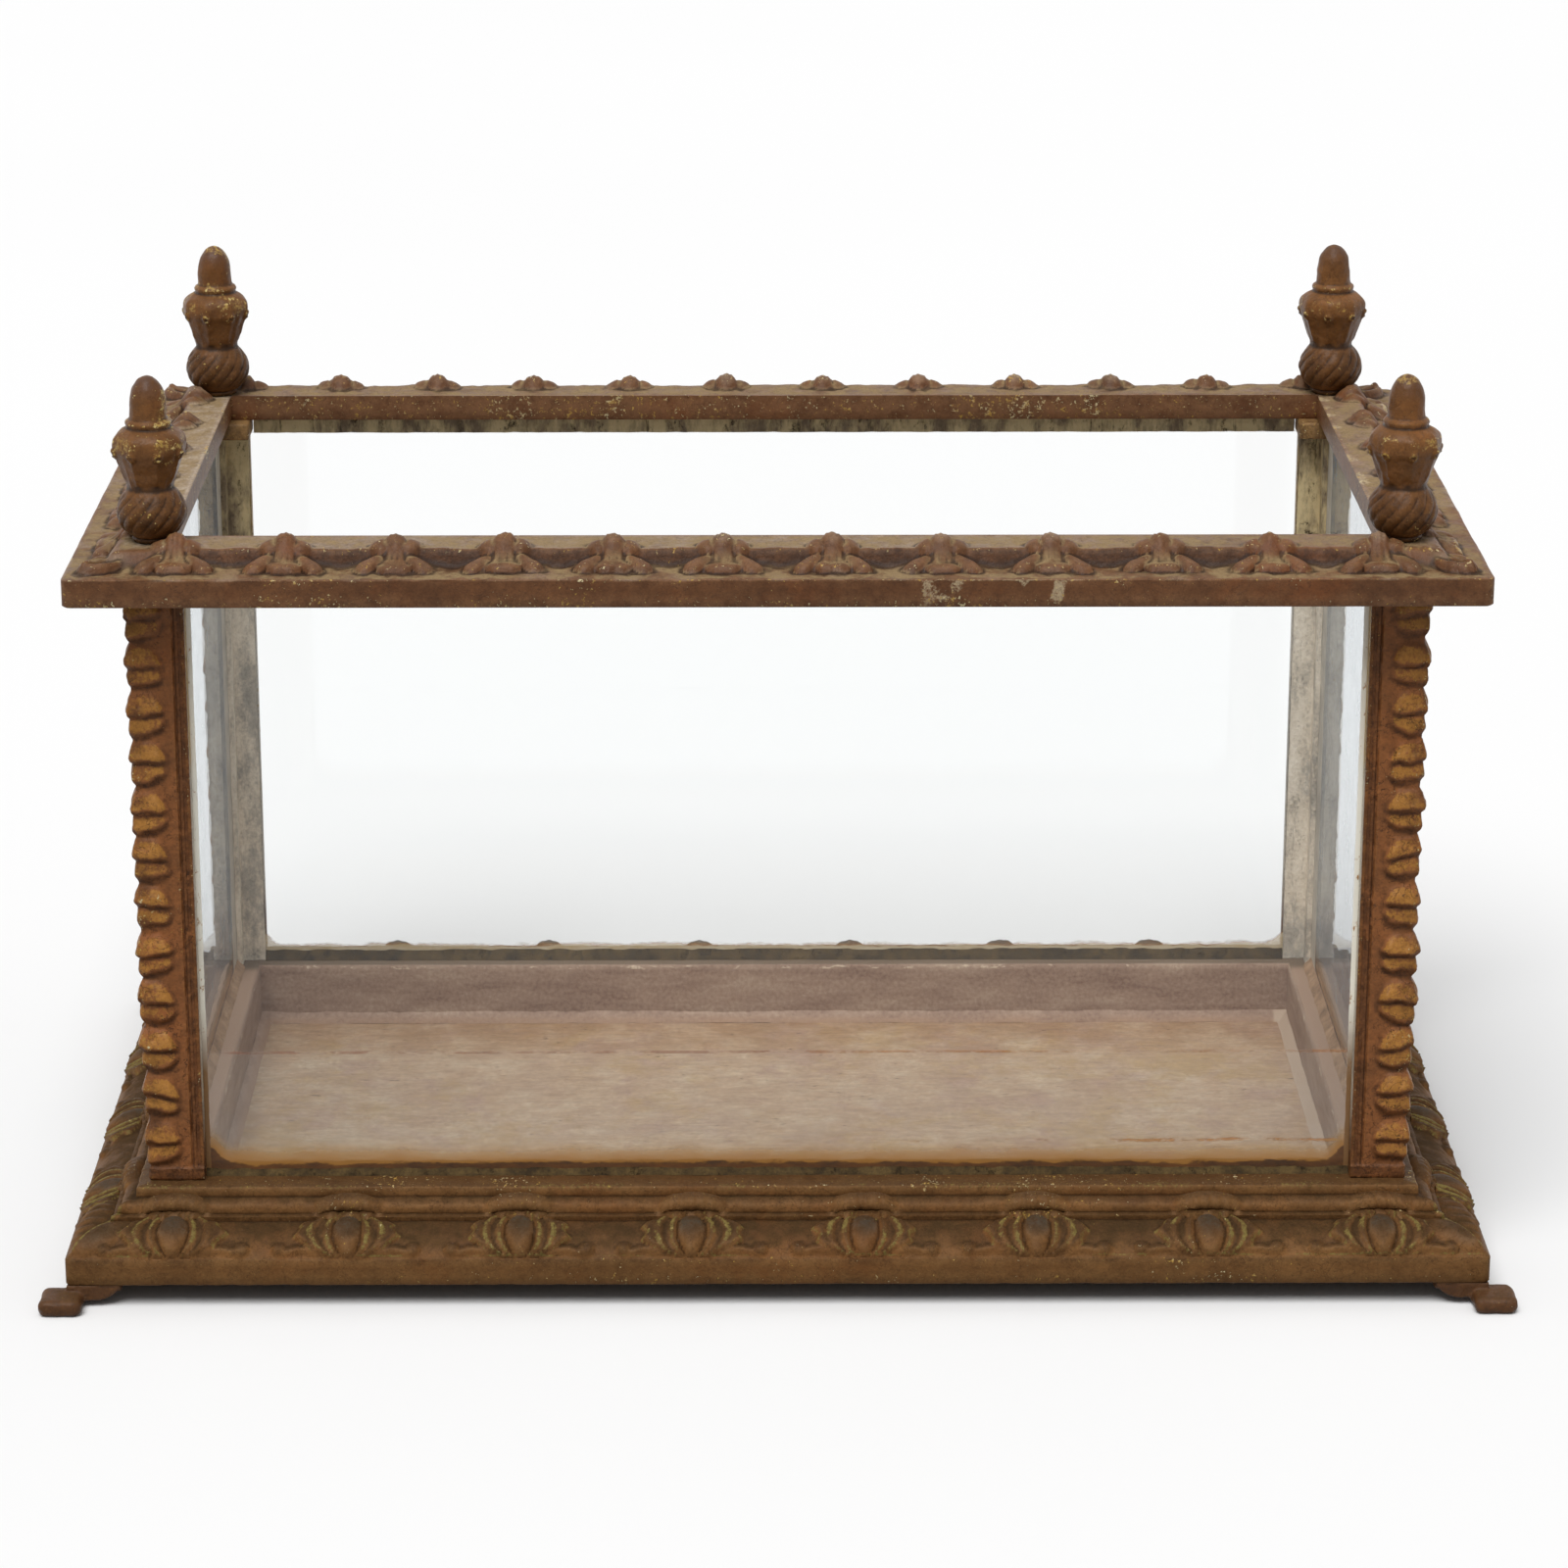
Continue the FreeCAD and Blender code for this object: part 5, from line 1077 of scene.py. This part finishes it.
# Carried-over CAD nodes get their finishes
steel = steel_material()
side_pane = pane_material("pane_side", 0.0485, cream_from=0.1265, along="Y", scum=0.5, crust=0.6, film_and_reflection=0.34)
finishes = {
    "floor_plate": floor_material(),
    "glass_front": pane_material("pane_front", 0.047, line_at=0.1035, cream_from=0.2536),
    "glass_back": pane_material("pane_back", 0.0485, cream_from=0.2575, scum=0.1, crust=0.75, rise=0.15,
                                edge=((206, 182, 132), (232, 220, 190))),
    "glass_left": side_pane, "glass_right": side_pane}
for node_name in ["foot_screws", "post_screws", "post_washers"] + ["finial_stud_" + c[0] for c in CORNERS]:
    finishes[node_name] = steel
for node_name, material in finishes.items():
    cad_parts[node_name].data.materials.clear()
    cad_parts[node_name].data.materials.append(material)


# The floor it stands on, the light and the camera
def stage_material():
    """Pale floor, darker for the light that it throws back than for the eye."""
    p = Paint("studio_floor")
    pale = p.ramp(p.noise(900, 2, 0.5), (0.3, 0.885), (0.7, 0.893))
    return p.finish(p.mix(p.seen(), 0.40, pale), 0.9, Specular_IOR_Level=0.0)


def studio():
    """A wide pale floor under even light from above, and a white surround."""
    mesh = bpy.data.meshes.new("studio_floor")
    bm = bmesh.new()
    bmesh.ops.create_circle(bm, cap_ends=True, segments=96, radius=14.0)
    bm.to_mesh(mesh)
    bm.free()
    ground = linked("studio_floor", mesh)
    mesh.materials.append(stage_material())
    world = bpy.data.worlds.new("studio")
    bpy.context.scene.world = world
    world.use_nodes = True
    w = Graph(world.node_tree)
    w.tree.nodes.clear()
    up = w.part(w.out(w.node("ShaderNodeTexCoord"), "Generated"), "Z")
    strength = w.out(w.node("ShaderNodeMapRange", {"Value": up, "From Min": 0, "From Max": 1, "To Min": 0.06,
                                                   "To Max": 0.66}))
    lit = w.node("ShaderNodeBackground", {"Color": 1.0, "Strength": strength})
    shown = w.node("ShaderNodeBackground", {"Color": 0.965, "Strength": 1})
    w.node("ShaderNodeOutputWorld", {"Surface": w.blend(w.seen(), w.out(lit), w.out(shown))})
    lamp = bpy.data.lights.new("key_light", "SUN")
    lamp.energy = 2.36
    lamp.angle = math.radians(37)
    spin, tilt = Matrix.Rotation(math.radians(-18), 4, "Z"), Matrix.Rotation(math.radians(29), 4, "X")
    linked("key_light", lamp).matrix_world = spin @ tilt


def photo_camera():
    """The photograph's viewpoint and lens."""
    pitch, turn, distance, target = 0.3080, 0.0053, 2.27076, (-0.00093, 0.0, 0.19553)
    focal, middle, side, sensor = 4956.99, (789.65, 772.89), 1600, 36.0
    eye = (target[0], -distance * math.cos(pitch), target[2] + distance * math.sin(pitch))
    data = bpy.data.cameras.new("photo_camera")
    data.sensor_width = sensor
    data.lens = focal / side * sensor
    data.shift_x = (side / 2 - middle[0]) / side
    data.shift_y = (middle[1] - side / 2) / side
    data.clip_end = 60.0
    camera = linked("photo_camera", data)
    camera.matrix_world = (Matrix.Rotation(-turn, 4, "Z") @ Matrix.Translation(eye)
                           @ Matrix.Rotation(math.pi / 2 - pitch, 4, "X"))
    bpy.context.scene.camera = camera


studio()
photo_camera()
bpy.context.scene.view_settings.view_transform = "Standard"

bpy.context.view_layer.update()
